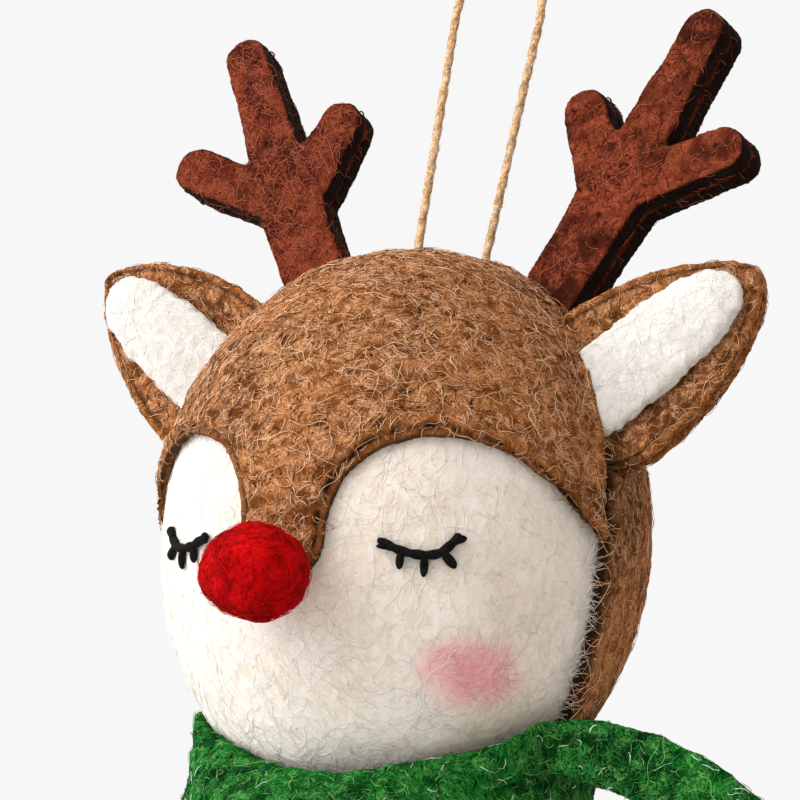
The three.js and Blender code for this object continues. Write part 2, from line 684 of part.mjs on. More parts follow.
ornament.add(piece('twine_lead_left', twineLead(TWINE_LEFT_X), TWINE));
ornament.add(piece('twine_lead_right', twineLead(TWINE_RIGHT_X), TWINE));

const hanging = new THREE.Group();
hanging.add(piece('twine_loop', twineLoop(), TWINE), ornament);
hanging.position.set(-LOOP_TOP_X, -TWINE_Y, -LOOP_TOP_Z);

const part = new THREE.Group();
part.add(hanging);
export default part;
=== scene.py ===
# %% [markdown]
# # A hanging reindeer of wool felt
# The ornament is a hard felted egg with a brown hood sewn over it, stiff antlers, lined ears, a ball nose,
# a green scarf and a stuffed body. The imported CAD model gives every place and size.
# This lesson turns each plain solid into felt: even small faces, rounded edges, lumps, stitches, a fibre
# pattern in the material, and loose hairs that are real mesh, because particles don't export.

# %% The frame
import json
import math

import bmesh
import bpy
import numpy as np
from mathutils import Matrix, Vector, noise
from mathutils.bvhtree import BVHTree
from mathutils.kdtree import KDTree

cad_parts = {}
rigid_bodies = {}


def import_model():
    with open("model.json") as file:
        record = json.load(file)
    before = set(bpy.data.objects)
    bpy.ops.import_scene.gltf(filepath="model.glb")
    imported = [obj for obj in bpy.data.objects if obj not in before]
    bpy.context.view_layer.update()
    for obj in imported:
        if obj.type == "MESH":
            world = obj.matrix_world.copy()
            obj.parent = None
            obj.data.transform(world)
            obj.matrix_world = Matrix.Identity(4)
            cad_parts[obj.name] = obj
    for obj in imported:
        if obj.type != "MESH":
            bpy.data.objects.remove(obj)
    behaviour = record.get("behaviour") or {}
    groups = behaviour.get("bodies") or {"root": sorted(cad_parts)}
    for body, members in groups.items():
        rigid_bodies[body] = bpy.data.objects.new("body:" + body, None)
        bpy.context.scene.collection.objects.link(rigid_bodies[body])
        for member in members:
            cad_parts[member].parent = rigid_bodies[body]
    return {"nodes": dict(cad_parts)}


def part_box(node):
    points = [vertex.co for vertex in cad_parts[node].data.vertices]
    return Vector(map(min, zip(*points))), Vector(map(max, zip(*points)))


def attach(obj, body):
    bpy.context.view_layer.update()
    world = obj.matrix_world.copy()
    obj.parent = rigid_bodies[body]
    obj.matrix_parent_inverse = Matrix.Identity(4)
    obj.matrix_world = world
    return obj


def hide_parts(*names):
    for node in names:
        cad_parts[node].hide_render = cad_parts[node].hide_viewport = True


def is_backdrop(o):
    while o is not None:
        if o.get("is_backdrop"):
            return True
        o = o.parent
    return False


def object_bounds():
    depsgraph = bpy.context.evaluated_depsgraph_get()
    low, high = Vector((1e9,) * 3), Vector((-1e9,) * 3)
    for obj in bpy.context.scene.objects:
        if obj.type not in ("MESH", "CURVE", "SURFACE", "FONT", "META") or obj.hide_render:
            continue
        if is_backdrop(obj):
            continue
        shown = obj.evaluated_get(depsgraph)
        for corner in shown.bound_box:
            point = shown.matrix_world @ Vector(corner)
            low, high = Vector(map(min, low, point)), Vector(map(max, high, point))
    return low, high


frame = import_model()
cad_box = [list(corner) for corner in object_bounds()]

MM = 0.001
HEAD_HALF_WIDTH = 31.4
HEAD_HALF_HEIGHT = 37.6
low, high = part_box("head_ball")
head_centre = Vector(((low.x + high.x) / 2, (low.y + high.y) / 2, low.z + HEAD_HALF_HEIGHT * MM))


def placed(points):
    """Millimetres about the head's centre become metres in the part's frame."""
    return np.asarray(points, float) * MM + np.array(head_centre)


def about_head(points):
    """Metres in the part's frame become millimetres about the head's centre."""
    return (np.asarray(points, float) - np.array(head_centre)) / MM


def in_scene(name, data):
    """A new object with that mesh, camera or lamp, linked to the scene."""
    made = bpy.data.objects.new(name, data)
    bpy.context.scene.collection.objects.link(made)
    return made


print("head centre", [round(value, 5) for value in head_centre])

# %% [markdown]
# ## Camera
# The photograph looks up at the face from below and from the reindeer's left, and the camera is rolled.
# A lens shift would follow the camera into every other view, so the camera is tilted instead to bring the
# head below the middle of the picture.

# %% Camera
IMAGE_PIXELS = 800
FOCAL_PIXELS = 2830
SENSOR = 36
CLIP_START = 0.01
HEAD_BELOW_MIDDLE_PIXELS = 140
VIEW_DISTANCE = 378
VIEW_TURN = math.radians(27.6)
VIEW_RISE = math.radians(-13.6)
VIEW_ROLL = math.radians(8.5)

view_back = Vector((
    math.sin(VIEW_TURN) * math.cos(VIEW_RISE),
    -math.cos(VIEW_TURN) * math.cos(VIEW_RISE),
    math.sin(VIEW_RISE),
))
level_right = Vector((math.cos(VIEW_TURN), math.sin(VIEW_TURN), 0))
level_up = view_back.cross(level_right)
view_right = level_right * math.cos(VIEW_ROLL) + level_up * math.sin(VIEW_ROLL)
rolled_up = level_up * math.cos(VIEW_ROLL) - level_right * math.sin(VIEW_ROLL)
tilt = math.atan(HEAD_BELOW_MIDDLE_PIXELS / FOCAL_PIXELS)
view_up = rolled_up * math.cos(tilt) + view_back * math.sin(tilt)
tilted_back = view_back * math.cos(tilt) - rolled_up * math.sin(tilt)

camera = in_scene("camera", bpy.data.cameras.new("camera"))
camera.data.sensor_width = SENSOR
camera.data.lens = FOCAL_PIXELS / IMAGE_PIXELS * SENSOR
camera.data.clip_start = CLIP_START
axes = Matrix((view_right, view_up, tilted_back)).transposed()
camera.matrix_world = Matrix.Translation(head_centre + view_back * VIEW_DISTANCE * MM) @ axes.to_4x4()
bpy.context.scene.camera = camera
print("camera at", [round(value, 4) for value in camera.matrix_world.translation])

# %% [markdown]
# ## Light and background
# A broad soft lamp stands to the left of the camera, as in the photograph, where the right sides are in
# shade and warmer. The world gives a weak fill, brighter from the left and from the front, and brownish
# from the right. The camera itself sees the world as near white, which puts no more light on the felt.

# %% Shader nodes
def node(tree, kind, values=None, **settings):
    """Adds a shader node. A value that is a socket is linked, and any other is set on the input."""
    made = tree.nodes.new(kind)
    for key, value in settings.items():
        setattr(made, key, value)
    for key, value in (values or {}).items():
        if isinstance(value, bpy.types.NodeSocket):
            tree.links.new(value, made.inputs[key])
        else:
            made.inputs[key].default_value = value
    return made


def calc(tree, operation, first, second=0.0):
    return node(tree, "ShaderNodeMath", {0: first, 1: second}, operation=operation).outputs[0]


def blended(tree, share, first, second):
    """The first colour where the share is 0, and the second where it is 1."""
    return node(tree, "ShaderNodeMix", {0: share, 6: first, 7: second}, data_type="RGBA").outputs[2]


# %% World
BACKGROUND = 0.93
FILL = 0.66
FILL_FROM_LEFT = 0.28
FILL_FROM_FRONT = 0.16
WHITE = (1, 1, 1, 1)
WARM_SHADE = (1, 0.82, 0.64, 1)

world = bpy.data.worlds.new("soft room")
world.use_nodes = True
bpy.context.scene.world = world
room = world.node_tree
rays = node(room, "ShaderNodeLightPath")
seen = calc(room, "MAXIMUM", rays.outputs["Is Camera Ray"], rays.outputs["Is Glossy Ray"])
seen = calc(room, "MAXIMUM", seen, rays.outputs["Is Transmission Ray"])
ray = node(room, "ShaderNodeTexCoord").outputs["Generated"]


def along_ray(direction):
    """How far a ray of light comes from that direction."""
    product = node(room, "ShaderNodeVectorMath", {0: ray, 1: direction}, operation="DOT_PRODUCT")
    return product.outputs["Value"]


fill = calc(room, "ADD", along_ray(view_back * FILL_FROM_FRONT - view_right * FILL_FROM_LEFT), FILL)
strength = node(room, "ShaderNodeMapRange", {"Value": seen, "To Min": fill, "To Max": BACKGROUND})
room.links.new(strength.outputs[0], room.nodes["Background"].inputs["Strength"])
leftness = calc(room, "ADD", along_ray(-view_right / 2), 0.5)
tint = blended(room, seen, blended(room, leftness, WARM_SHADE, WHITE), WHITE)
room.links.new(tint, room.nodes["Background"].inputs["Color"])
bpy.context.scene.view_settings.view_transform = "Standard"
print("fill", FILL, "and background", BACKGROUND)

# %% Lamp
KEY_SIZE = 0.55
KEY_WATTS = 3.5
KEY_DISTANCE = 0.6
KEY_LEFT = 0.84
KEY_FRONT = 0.46
KEY_UP = 0.52
key = in_scene("key lamp", bpy.data.lights.new("key lamp", "AREA"))
key.data.shape = "DISK"
key.data.size = KEY_SIZE
key.data.energy = KEY_WATTS
towards_key = (-view_right * KEY_LEFT + view_back * KEY_FRONT + Vector((0, 0, KEY_UP))).normalized()
key.location = head_centre + towards_key * KEY_DISTANCE
key.rotation_mode = "QUATERNION"
key.rotation_quaternion = towards_key.to_track_quat("Z", "Y")
print("key lamp at", [round(value, 3) for value in key.location])

# %% [markdown]
# ## The felt finish
# Wool felt is a mat of wavy hairs: paler hairs lie on top, dark pits show between them, and the colour
# drifts in soft clouds. A photograph could be wrapped on, but it would have no scale of its own. Here a
# noise field gives the hairs: each place where the field passes its middle value is a thin wavy line.
# Three such webs lie over each other. The same lines drive the colour, the roughness and the bump.

# %% Parts of a finish
def linear(red, green, blue):
    """A screen colour from 0 to 255 becomes the linear colour that shaders take."""
    shares = [value / 255 for value in (red, green, blue)]
    return (*[s / 12.92 if s <= 0.04045 else ((s + 0.055) / 1.055) ** 2.4 for s in shares], 1)


def new_material(name):
    """A new material, its node tree and its surface node."""
    material = bpy.data.materials.new(name)
    material.use_nodes = True
    return material, material.node_tree, material.node_tree.nodes["Principled BSDF"]


def ramp(tree, value, start, end):
    """0 at start and 1 at end, with a soft change between."""
    made = node(tree, "ShaderNodeMapRange", {"Value": value, "From Min": start, "From Max": end})
    made.interpolation_type = "SMOOTHSTEP"
    return made.outputs[0]


def cloud(tree, place, scale, detail=2.0, distortion=0.0):
    values = {"Vector": place, "Scale": scale, "Detail": detail, "Distortion": distortion}
    return node(tree, "ShaderNodeTexNoise", values).outputs["Fac"]


def weighted(tree, first, share, second):
    """The sum of a share of the first value and the rest of the second."""
    return calc(tree, "ADD", calc(tree, "MULTIPLY", first, share), calc(tree, "MULTIPLY", second, 1 - share))


def hair_web(tree, place, scale, width, shift):
    """1 on thin wavy lines and 0 between them."""
    moved = node(tree, "ShaderNodeVectorMath", {0: place, 1: (shift, shift, shift)}).outputs[0]
    field = cloud(tree, moved, scale, 1.0, 0.9)
    away = calc(tree, "ABSOLUTE", calc(tree, "SUBTRACT", field, 0.5))
    return ramp(tree, away, width, 0.0)


# %% Felt shader
FELT_WEBS = ((900, 0.04, 0.0), (1500, 0.06, 3.1), (2400, 0.08, 7.7))
DRIFT_SCALE = 75
MOTTLE_SCALE = 620
PIT_SCALE = 2000
PIT_STEP = (0.38, 0.26)
PIT_SHADE = 0.3
SOFT_STEP = (0.36, 0.62)
DRIFT_SHARE = 0.6
HAIR_HEIGHT = 0.45
BUMP_DEPTH = 0.25 * MM


def felt(name, deep, base, pale, hairs, pits, grain=1.0, bump=0.5, sheen=0.02, stretch=(1, 1, 1), marks=(),
         flat=0.0):
    """A felt in three colours. hairs and pits are the shares of pale hairs and of dark pits, and a larger
    grain makes the pattern finer. marks are (attribute, colour): where the mesh attribute is 1, the felt has
    that colour instead. flat is how evenly a loose wool scatters light to all sides."""
    material, tree, surface = new_material(name)
    place = node(tree, "ShaderNodeTexCoord").outputs["Object"]
    place = node(tree, "ShaderNodeMapping", {"Vector": place, "Scale": stretch}).outputs[0]
    drift = cloud(tree, place, DRIFT_SCALE, 3.0)
    mottle = cloud(tree, place, MOTTLE_SCALE * grain, 3.0)
    webs = [hair_web(tree, place, scale * grain, width, shift) for scale, width, shift in FELT_WEBS]
    lines = calc(tree, "MAXIMUM", calc(tree, "MAXIMUM", webs[0], webs[1]), webs[2])
    patchy = calc(tree, "MULTIPLY", lines, ramp(tree, mottle, *SOFT_STEP))
    holes = ramp(tree, cloud(tree, place, PIT_SCALE * grain, 1.0), *PIT_STEP)
    tone = weighted(tree, drift, DRIFT_SHARE, mottle)
    colour = blended(tree, ramp(tree, tone, *SOFT_STEP), deep, base)
    colour = blended(tree, calc(tree, "MULTIPLY", patchy, hairs), colour, pale)
    for attribute, tint in marks:
        share = node(tree, "ShaderNodeAttribute", attribute_name=attribute).outputs["Fac"]
        colour = blended(tree, share, colour, tint)
    shaded = tuple(PIT_SHADE * channel for channel in deep[:3]) + (1,)
    colour = blended(tree, calc(tree, "MULTIPLY", holes, pits), colour, shaded)
    tree.links.new(colour, surface.inputs["Base Color"])
    rough = node(tree, "ShaderNodeMapRange", {"Value": lines, "To Min": 0.97, "To Max": 0.85})
    tree.links.new(rough.outputs[0], surface.inputs["Roughness"])
    height = calc(tree, "ADD", calc(tree, "MULTIPLY", lines, HAIR_HEIGHT), mottle)
    height = calc(tree, "SUBTRACT", height, holes)
    raised = node(tree, "ShaderNodeBump", {"Height": height, "Strength": bump, "Distance": BUMP_DEPTH})
    tree.links.new(raised.outputs[0], surface.inputs["Normal"])
    surface.inputs["Diffuse Roughness"].default_value = flat
    surface.inputs["Specular IOR Level"].default_value = 0.08
    surface.inputs["Sheen Weight"].default_value = sheen
    surface.inputs["Sheen Roughness"].default_value = 0.5
    surface.inputs["Sheen Tint"].default_value = pale
    return material


# %% The six felts
HEM_BROWN = linear(166, 94, 34)
# A near black for painted shade in creases, gaps and on the insides of the felt, and for the body's dark back
# seam.
SHADE_AND_SEAM_BROWN = linear(26, 13, 6)
BLUSH_PINK = linear(255, 172, 187)
# The antlers' cut edges: a near black that also stands in for the shade on them.
CUT_EDGE_AND_SHADE = linear(22, 9, 5)
cream_wool = felt(
    "cream wool", linear(246, 236, 225), linear(251, 247, 242), linear(254, 253, 252), hairs=0.6, pits=0.2,
    grain=1.7, bump=0.22, sheen=0.03, stretch=(1, 1, 0.5), marks=[("blush", BLUSH_PINK)], flat=1.0)
brown_felt = felt(
    "brown felt", linear(92, 48, 16), linear(171, 103, 47), linear(246, 192, 146), hairs=0.62, pits=0.95,
    bump=0.75, sheen=0.22, marks=[("hem", HEM_BROWN), ("shade_and_seam", SHADE_AND_SEAM_BROWN)])
dark_felt = felt(
    "dark red-brown felt", linear(66, 24, 12), linear(120, 50, 29), linear(172, 88, 56), hairs=0.5, pits=0.85,
    grain=0.6, bump=0.8, sheen=0.01, marks=[("edge", CUT_EDGE_AND_SHADE)])
white_wool = felt(
    "white wool", linear(228, 226, 222), linear(243, 242, 240), linear(250, 250, 249), hairs=0.5, pits=0.15,
    grain=1.2, bump=0.3, sheen=0.03, flat=1.0)
red_wool = felt(
    "red wool", linear(150, 0, 3), linear(214, 1, 6), linear(238, 20, 24), hairs=0.4, pits=0.45, grain=0.9,
    bump=0.6, sheen=0.01)
green_felt = felt(
    "green felt", linear(1, 42, 11), linear(9, 98, 29), linear(106, 194, 96), hairs=0.5, pits=0.8, grain=0.7,
    bump=0.8, sheen=0.01)
print("felts:", ", ".join(material.name for material in bpy.data.materials if material.use_nodes))

# %% [markdown]
# Threads and single hairs are thinner than a pixel of their own pattern, so each piece mixes several plain
# shades of hair, as real wool does. Sewing thread and twine get fine fibre streaks.

# %% Hair shades and threads
def hair(name, colour, roughness=0.8):
    material, _, surface = new_material(name)
    surface.inputs["Base Color"].default_value = colour
    surface.inputs["Roughness"].default_value = roughness
    surface.inputs["Specular IOR Level"].default_value = 0.1
    return material


STREAK_SCALE = 2600
STREAK_SHARE = 0.65


def spun(name, deep, pale, roughness=0.85):
    """A spun thread in two colours."""
    material, tree, surface = new_material(name)
    place = node(tree, "ShaderNodeTexCoord").outputs["Object"]
    streaks = cloud(tree, place, STREAK_SCALE, 2.0, 0.6)
    drift = cloud(tree, place, STREAK_SCALE / 6, 2.0)
    share = ramp(tree, weighted(tree, streaks, STREAK_SHARE, drift), *SOFT_STEP)
    tree.links.new(blended(tree, share, deep, pale), surface.inputs["Base Color"])
    rough = node(tree, "ShaderNodeMapRange", {"Value": share, "To Min": 0.95, "To Max": roughness})
    tree.links.new(rough.outputs[0], surface.inputs["Roughness"])
    raised = node(tree, "ShaderNodeBump", {"Height": streaks, "Strength": 0.6, "Distance": 0.1 * MM})
    tree.links.new(raised.outputs[0], surface.inputs["Normal"])
    surface.inputs["Specular IOR Level"].default_value = 0.15
    return material


twine_fibre = spun("beige twine", linear(176, 134, 90), linear(230, 200, 160))
sewing_thread = spun("grey-pink sewing thread", linear(126, 92, 68), linear(184, 144, 114))
dark_thread = spun("dark brown sewing thread", linear(44, 26, 18), linear(98, 68, 52))
black_thread = spun("black embroidery thread", linear(4, 4, 4), linear(18, 17, 17), roughness=0.8)
HAIR_COLOURS = {
    "cream": (250, 246, 240), "white": (253, 252, 251), "pink": (254, 204, 210), "rose": (246, 170, 180),
    "tan": (250, 208, 172), "fawn": (218, 158, 112), "brown": (156, 90, 39), "umber": (78, 40, 14),
    "rust": (180, 98, 74), "maroon": (104, 41, 25), "soot": (38, 16, 9), "red": (220, 5, 9),
    "crimson": (142, 1, 4), "green": (38, 154, 62), "pine": (3, 58, 17), "lime": (136, 202, 106),
}
shade = {name: hair(name + " hair", linear(*colour)) for name, colour in HAIR_COLOURS.items()}
shade["silver"] = hair("silver thread", linear(206, 228, 210), 0.32)
shade["silver"].node_tree.nodes["Principled BSDF"].inputs["Metallic"].default_value = 0.6
print(len(shade), "hair shades")

# %% [markdown]
# ## Tools for threads
# A thread is a tube along a smooth curve. A two-ply thread is two strands laid round each other, so its
# section is an eight that turns as it goes along.

# %% Curves
SPAN_STEPS = 16


def curve_through(points, spacing):
    """A smooth curve through the points, with points about that far apart."""
    points = np.asarray(points, float)
    padded = np.vstack([2 * points[0] - points[1], points, 2 * points[-1] - points[-2]])
    share = np.linspace(0, 1, SPAN_STEPS, endpoint=False)[:, None]
    spans = []
    for a, b, c, d in zip(padded, padded[1:], padded[2:], padded[3:]):
        spans.append(b + share * ((c - a) / 2 + share * (a - 2.5 * b + 2 * c - d / 2
                                                         + share * (1.5 * (b - c) + (d - a) / 2))))
    fine = np.vstack([*spans, points[-1:]])
    along = np.concatenate([[0], np.cumsum(np.linalg.norm(np.diff(fine, axis=0), axis=1))])
    at = np.linspace(0, along[-1], max(4, round(along[-1] / spacing) + 1))
    return np.stack([np.interp(at, along, fine[:, axis]) for axis in range(3)], axis=1)


def unit(vectors):
    return vectors / np.maximum(np.linalg.norm(vectors, axis=-1, keepdims=True), 1e-12)


# %% Threads
ASIDE = (0.31, 0.52, 0.8)


def thread(path, diameter, pitch, sides=10, groove=0.25, tip=1.0):
    """Points and faces of one closed two-ply thread along a path. It thins towards its end to the tip's
    share. ASIDE is a direction that no thread starts along, and gives the first side of the tube."""
    along = unit(np.gradient(path, axis=0))
    side = unit(np.cross(along[0], ASIDE))
    sides_along = []
    for direction in along:
        side = unit(side - direction * side.dot(direction))
        sides_along.append(side)
    side = np.array(sides_along)
    other = np.cross(along, side)
    length = np.concatenate([[0], np.cumsum(np.linalg.norm(np.diff(path, axis=0), axis=1))])
    from_end = np.minimum(length, length[-1] - length) / (0.5 * diameter)
    taper = np.sqrt(np.clip(1 - (1 - np.clip(from_end, 0.03, 1)) ** 2, 0, 1))
    taper *= 1 + (tip - 1) * length / length[-1]
    angle = np.arange(sides) * 2 * math.pi / sides
    lobes = np.abs(np.cos(angle[None] - 2 * math.pi * length[:, None] / pitch))
    radius = (diameter / 2 * taper)[:, None] * (1 - groove * (1 - lobes))
    rings = path[:, None] + radius[..., None] * (np.cos(angle)[None, :, None] * side[:, None]
                                                 + np.sin(angle)[None, :, None] * other[:, None])
    points = np.vstack([rings.reshape(-1, 3), path[:1], path[-1:]])
    start = np.arange(len(path) - 1)[:, None] * sides
    here, after = np.arange(sides), (np.arange(sides) + 1) % sides
    quads = np.stack([start + here, start + after, start + after + sides, start + here + sides], axis=-1)
    last = (len(path) - 1) * sides
    faces = quads.reshape(-1, 4).tolist()
    faces += [(last + sides, b, a) for a, b in zip(here, after)]
    faces += [(last + sides + 1, last + a, last + b) for a, b in zip(here, after)]
    return points, faces


def piece_from(name, points, faces, material, body="ornament"):
    """A new smooth mesh piece that rides on a body. The points are in metres."""
    mesh = bpy.data.meshes.new(name)
    mesh.from_pydata(np.asarray(points).tolist(), [], faces)
    mesh.shade_smooth()
    mesh.materials.append(material)
    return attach(in_scene(name, mesh), body)


def threads_piece(name, paths, diameter, pitch, material, sides=10, tips=None):
    """Several threads, given as paths in millimetres about the head, as one piece."""
    points, faces, used = [], [], 0
    for path, tip in zip(paths, tips or [1.0] * len(paths)):
        made, around = thread(np.asarray(path), diameter, pitch, sides, tip=tip)
        faces += [[corner + used for corner in face] for face in around]
        points.append(made)
        used += len(made)
    piece = piece_from(name, placed(np.vstack(points)), faces, material)
    return piece


# %% [markdown]
# ## The hanging twine
# Two strands of beige two-ply twine leave the crown and close in a loop just above the photograph. They
# carry the ornament, so they are taut. The route is the one that the CAD solid follows.

# %% Twine
HOOD_OUTSIDE = 1.9
TWINE_DIAMETER = 1.25
TWINE_PITCH = 5.6
TWINE_Y = 1.8
TWINE_END_CLEARANCE = 0.5
TWINE_LEFT_X = 5.6
TWINE_RIGHT_X = -4.9


def crown_height(x, y, offset):
    """The height of the egg's top, or of a layer that far over it, above its centre."""
    share = math.hypot(x, y) / (HEAD_HALF_WIDTH + offset)
    return (HEAD_HALF_HEIGHT + offset) * math.sqrt(1 - share * share)


def twine_end(x):
    return x, crown_height(x, TWINE_Y, HOOD_OUTSIDE) + TWINE_END_CLEARANCE


TWINE_ROUTE = [
    twine_end(TWINE_RIGHT_X), (-4.85, 46), (-4.75, 54), (-4.65, 62), (-4.55, 70), (-4.45, 77), (-3.9, 81.6),
    (-1.8, 85.4), (2.2, 87), (6.2, 85.4), (8.3, 81.6), (8.8, 77), (8.2, 70), (7.5, 62), (6.85, 54), (6.2, 46),
    twine_end(TWINE_LEFT_X),
]
twine_line = curve_through([(x, TWINE_Y, z) for x, z in TWINE_ROUTE], 0.25)
points, faces = thread(twine_line, TWINE_DIAMETER, TWINE_PITCH, sides=20, groove=0.24)
twine = piece_from("twine", placed(points), faces, twine_fibre, "hanger")
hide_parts("twine_loop")
for name in ("twine_knot", "twine_lead_left", "twine_lead_right"):
    frame["nodes"][name].data.materials.clear()
    frame["nodes"][name].data.materials.append(twine_fibre)

# %% [markdown]
# ## Tools for felt and hair
# A CAD solid has long thin facets and sharp edges. Felt has neither, so a copy is remeshed in small even
# faces, its edges are smoothed, and its points are moved: first out to the true curve that the facets cut
# short, then in and out by a few tenths of a millimetre of noise.

# %% Points of a piece
def points_of(piece):
    """The piece's points in millimetres about the head."""
    flat = np.empty(3 * len(piece.data.vertices), np.float32)
    piece.data.vertices.foreach_get("co", flat)
    return about_head(flat.reshape(-1, 3))


def normals_of(piece):
    flat = np.empty(3 * len(piece.data.vertices), np.float32)
    piece.data.vertex_normals.foreach_get("vector", flat)
    return flat.reshape(-1, 3).astype(float)


def facing(piece, ways):
    """1 at points that face those ways, and 0 at points that face aside or back."""
    return np.clip((normals_of(piece) * ways).sum(1) * 1.5, 0, 1)


def move_points(piece, points):
    piece.data.vertices.foreach_set("co", placed(points).astype(np.float32).ravel())
    piece.data.update()


def mark(piece, name, values):
    """Stores a share from 0 to 1 for each point, for the material to read."""
    stored = piece.data.attributes.new(name, "FLOAT", "POINT")
    stored.data.foreach_set("value", np.clip(values, 0, 1).astype(np.float32))


# %% Felt from a solid
def felted(name, nodes, voxel, smoothing, material, slot):
    """A copy of one CAD solid in small even faces with rounded edges, which stands for the named nodes."""
    piece = in_scene(name, frame["nodes"][nodes[0]].data.copy())
    even = piece.modifiers.new("even faces", "REMESH")
    even.mode = "VOXEL"
    even.voxel_size = voxel * MM
    soft = piece.modifiers.new("rounded edges", "SMOOTH")
    soft.factor = 0.5
    soft.iterations = smoothing
    shaped = piece.evaluated_get(bpy.context.evaluated_depsgraph_get())
    mesh = bpy.data.meshes.new_from_object(shaped)
    piece.modifiers.clear()
    piece.data = mesh
    mesh.name = name
    mesh.materials.clear()
    mesh.materials.append(material)
    mesh.shade_smooth()
    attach(piece, "ornament")
    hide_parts(*nodes)
    return piece


def true_circle(points, first, second, centre, step, weight=1.0):
    """Moves points of a many-sided round out to the circle, in the plane of two axes. step is the angle of
    one facet."""
    along = points[:, [first, second]] - centre
    away = (np.arctan2(along[:, 1], along[:, 0]) % step) - step / 2
    grow = 1 + weight * (np.cos(away) / math.cos(step / 2) - 1)
    moved = points.copy()
    moved[:, [first, second]] = centre + along * grow[:, None]
    return moved


# %% Lumps and distances
def eased(values, start, end):
    """0 at start and 1 at end, with a soft change between."""
    share = np.clip((values - start) / (end - start), 0, 1)
    return share * share * (3 - 2 * share)


def bell(distance, middle, width):
    """1 at the middle, falling softly to 0 on both sides."""
    return np.exp(-np.square((distance - middle) / width))


def lumps(points, size, seed=0.0):
    """Smooth noise from -1 to 1, with lumps about that many millimetres across."""
    return np.array([noise.noise(place) for place in (points / size + seed).tolist()])


def lumpy(piece, *layers):
    """Moves the points along their normals. Each layer is a size and a height in millimetres."""
    points, normals = points_of(piece), normals_of(piece)
    height = sum(tall * lumps(points, size, 11.3 * size) for size, tall in layers)
    move_points(piece, points + normals * height[:, None])


def nearest(points, line):
    """How far each point is from a line of points, and the index of the nearest one."""
    tree = KDTree(len(line))
    for index, place in enumerate(line):
        tree.insert(place, index)
    tree.balance()
    found = [tree.find(place)[1:] for place in points.tolist()]
    return np.array([f[1] for f in found]), np.array([f[0] for f in found], int)


# %% [markdown]
# Loose hairs are thin three-sided tubes, closed and pointed at both ends. Each starts at a point of a
# piece and wanders along its surface: it takes a step, lands on the nearest place of the surface, turns a
# little, and goes on. It lies a little above the felt, and its end may stand off.

# %% Paths of hairs
def surface_of(piece):
    work = bmesh.new()
    work.from_mesh(piece.data)
    surface = BVHTree.FromBMesh(work)
    work.free()
    return surface


def landed(surface, places):
    """The nearest places of the surface, and its normals there."""
    found = [surface.find_nearest(place) for place in places.tolist()]
    return np.array([f[0] for f in found]), np.array([f[1] for f in found])


def wandering(piece, start, heading, length, rng, joints, curl=0.5, lift=0.06, tip_lift=0.0):
    """Paths in metres that wander over a piece. start and heading are one row for each hair, in metres."""
    surface = surface_of(piece)
    count = len(start)
    step = (length * MM / (joints - 1))[:, None]
    phase, pace = rng.uniform(0, 2 * math.pi, count), rng.uniform(0.5, 1.5, count)
    drift = rng.normal(0, curl / 3, count)
    sway = rng.uniform(0.4, 1.0, count) * curl
    tips = tip_lift * rng.uniform(0.2, 1.0, count)
    over = lift * rng.uniform(0.3, 1.6, count)
    place, normal = landed(surface, start)
    paths = []
    for index in range(joints):
        share = index / (joints - 1)
        height = over * (1.6 * math.sin(math.pi * share) - 0.4) + tips * share ** 2
        paths.append(place + normal * (height * MM)[:, None])
        heading = unit(heading - normal * (heading * normal).sum(1, keepdims=True))
        turn = (drift + sway * np.sin(phase + pace * index))[:, None]
        heading = heading * np.cos(turn) + np.cross(normal, heading) * np.sin(turn)
        place, normal = landed(surface, place + heading * step)
    return np.stack(paths, axis=1)


# %% Hair meshes
HAIR_SIDES = 3


def hair_faces(rows):
    """The triangles of one hair with that many rings of points between its two tips."""
    around = [(side, (side + 1) % HAIR_SIDES) for side in range(HAIR_SIDES)]
    faces = [(0, 1 + after, 1 + here) for here, after in around]
    for row in range(rows - 1):
        for here, after in around:
            a, b = 1 + HAIR_SIDES * row + here, 1 + HAIR_SIDES * row + after
            faces += [(a, b, b + HAIR_SIDES), (a, b + HAIR_SIDES, a + HAIR_SIDES)]
    end = 1 + HAIR_SIDES * rows
    faces += [(end, end - HAIR_SIDES + here, end - HAIR_SIDES + after) for here, after in around]
    return np.array(faces)


def hair_piece(name, paths, width, shades, rng, weights=None, body="ornament"):
    """Closed tapered hairs along the paths, as one piece. Each hair takes one of the shades."""
    count, joints = paths.shape[:2]
    along = unit(np.gradient(paths, axis=1))
    side = unit(np.cross(along, unit(rng.normal(size=(count, 1, 3)))))
    other = np.cross(along, side)
    taper = np.sin(np.linspace(0.1, 0.9, joints) * math.pi) ** 0.5
    radius = (width * rng.uniform(0.7, 1.3, count) * MM / 2)[:, None] * taper
    turn = np.arange(HAIR_SIDES) * 2 * math.pi / HAIR_SIDES
    spoke = np.cos(turn)[:, None] * side[:, 1:-1, None] + np.sin(turn)[:, None] * other[:, 1:-1, None]
    rings = paths[:, 1:-1, None] + radius[:, 1:-1, None, None] * spoke
    points = np.concatenate([paths[:, :1], rings.reshape(count, -1, 3), paths[:, -1:]], axis=1)
    faces = hair_faces(joints - 2)
    every = faces[None] + (np.arange(count) * points.shape[1])[:, None, None]
    mesh = bpy.data.meshes.new(name)
    mesh.vertices.add(points.shape[0] * points.shape[1])
    mesh.vertices.foreach_set("co", points.astype(np.float32).ravel())
    mesh.loops.add(every.size)
    mesh.loops.foreach_set("vertex_index", every.astype(np.int32).ravel())
    mesh.polygons.add(every.size // 3)
    mesh.polygons.foreach_set("loop_start", np.arange(0, every.size, 3, dtype=np.int32))
    chosen = rng.choice(len(shades), count, p=weights)
    mesh.polygons.foreach_set("material_index", np.repeat(chosen, len(faces)).astype(np.int32))
    mesh.update(calc_edges=True)
    mesh.shade_smooth()
    for shade_name in shades:
        mesh.materials.append(shade[shade_name])
    piece = in_scene(name, mesh)
    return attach(piece, body)


# %% Coats of hair
AIM_SPREAD = 0.35
NAP_LENGTH = (1.2, 3.4)
STRAY_LENGTH = (4, 10)


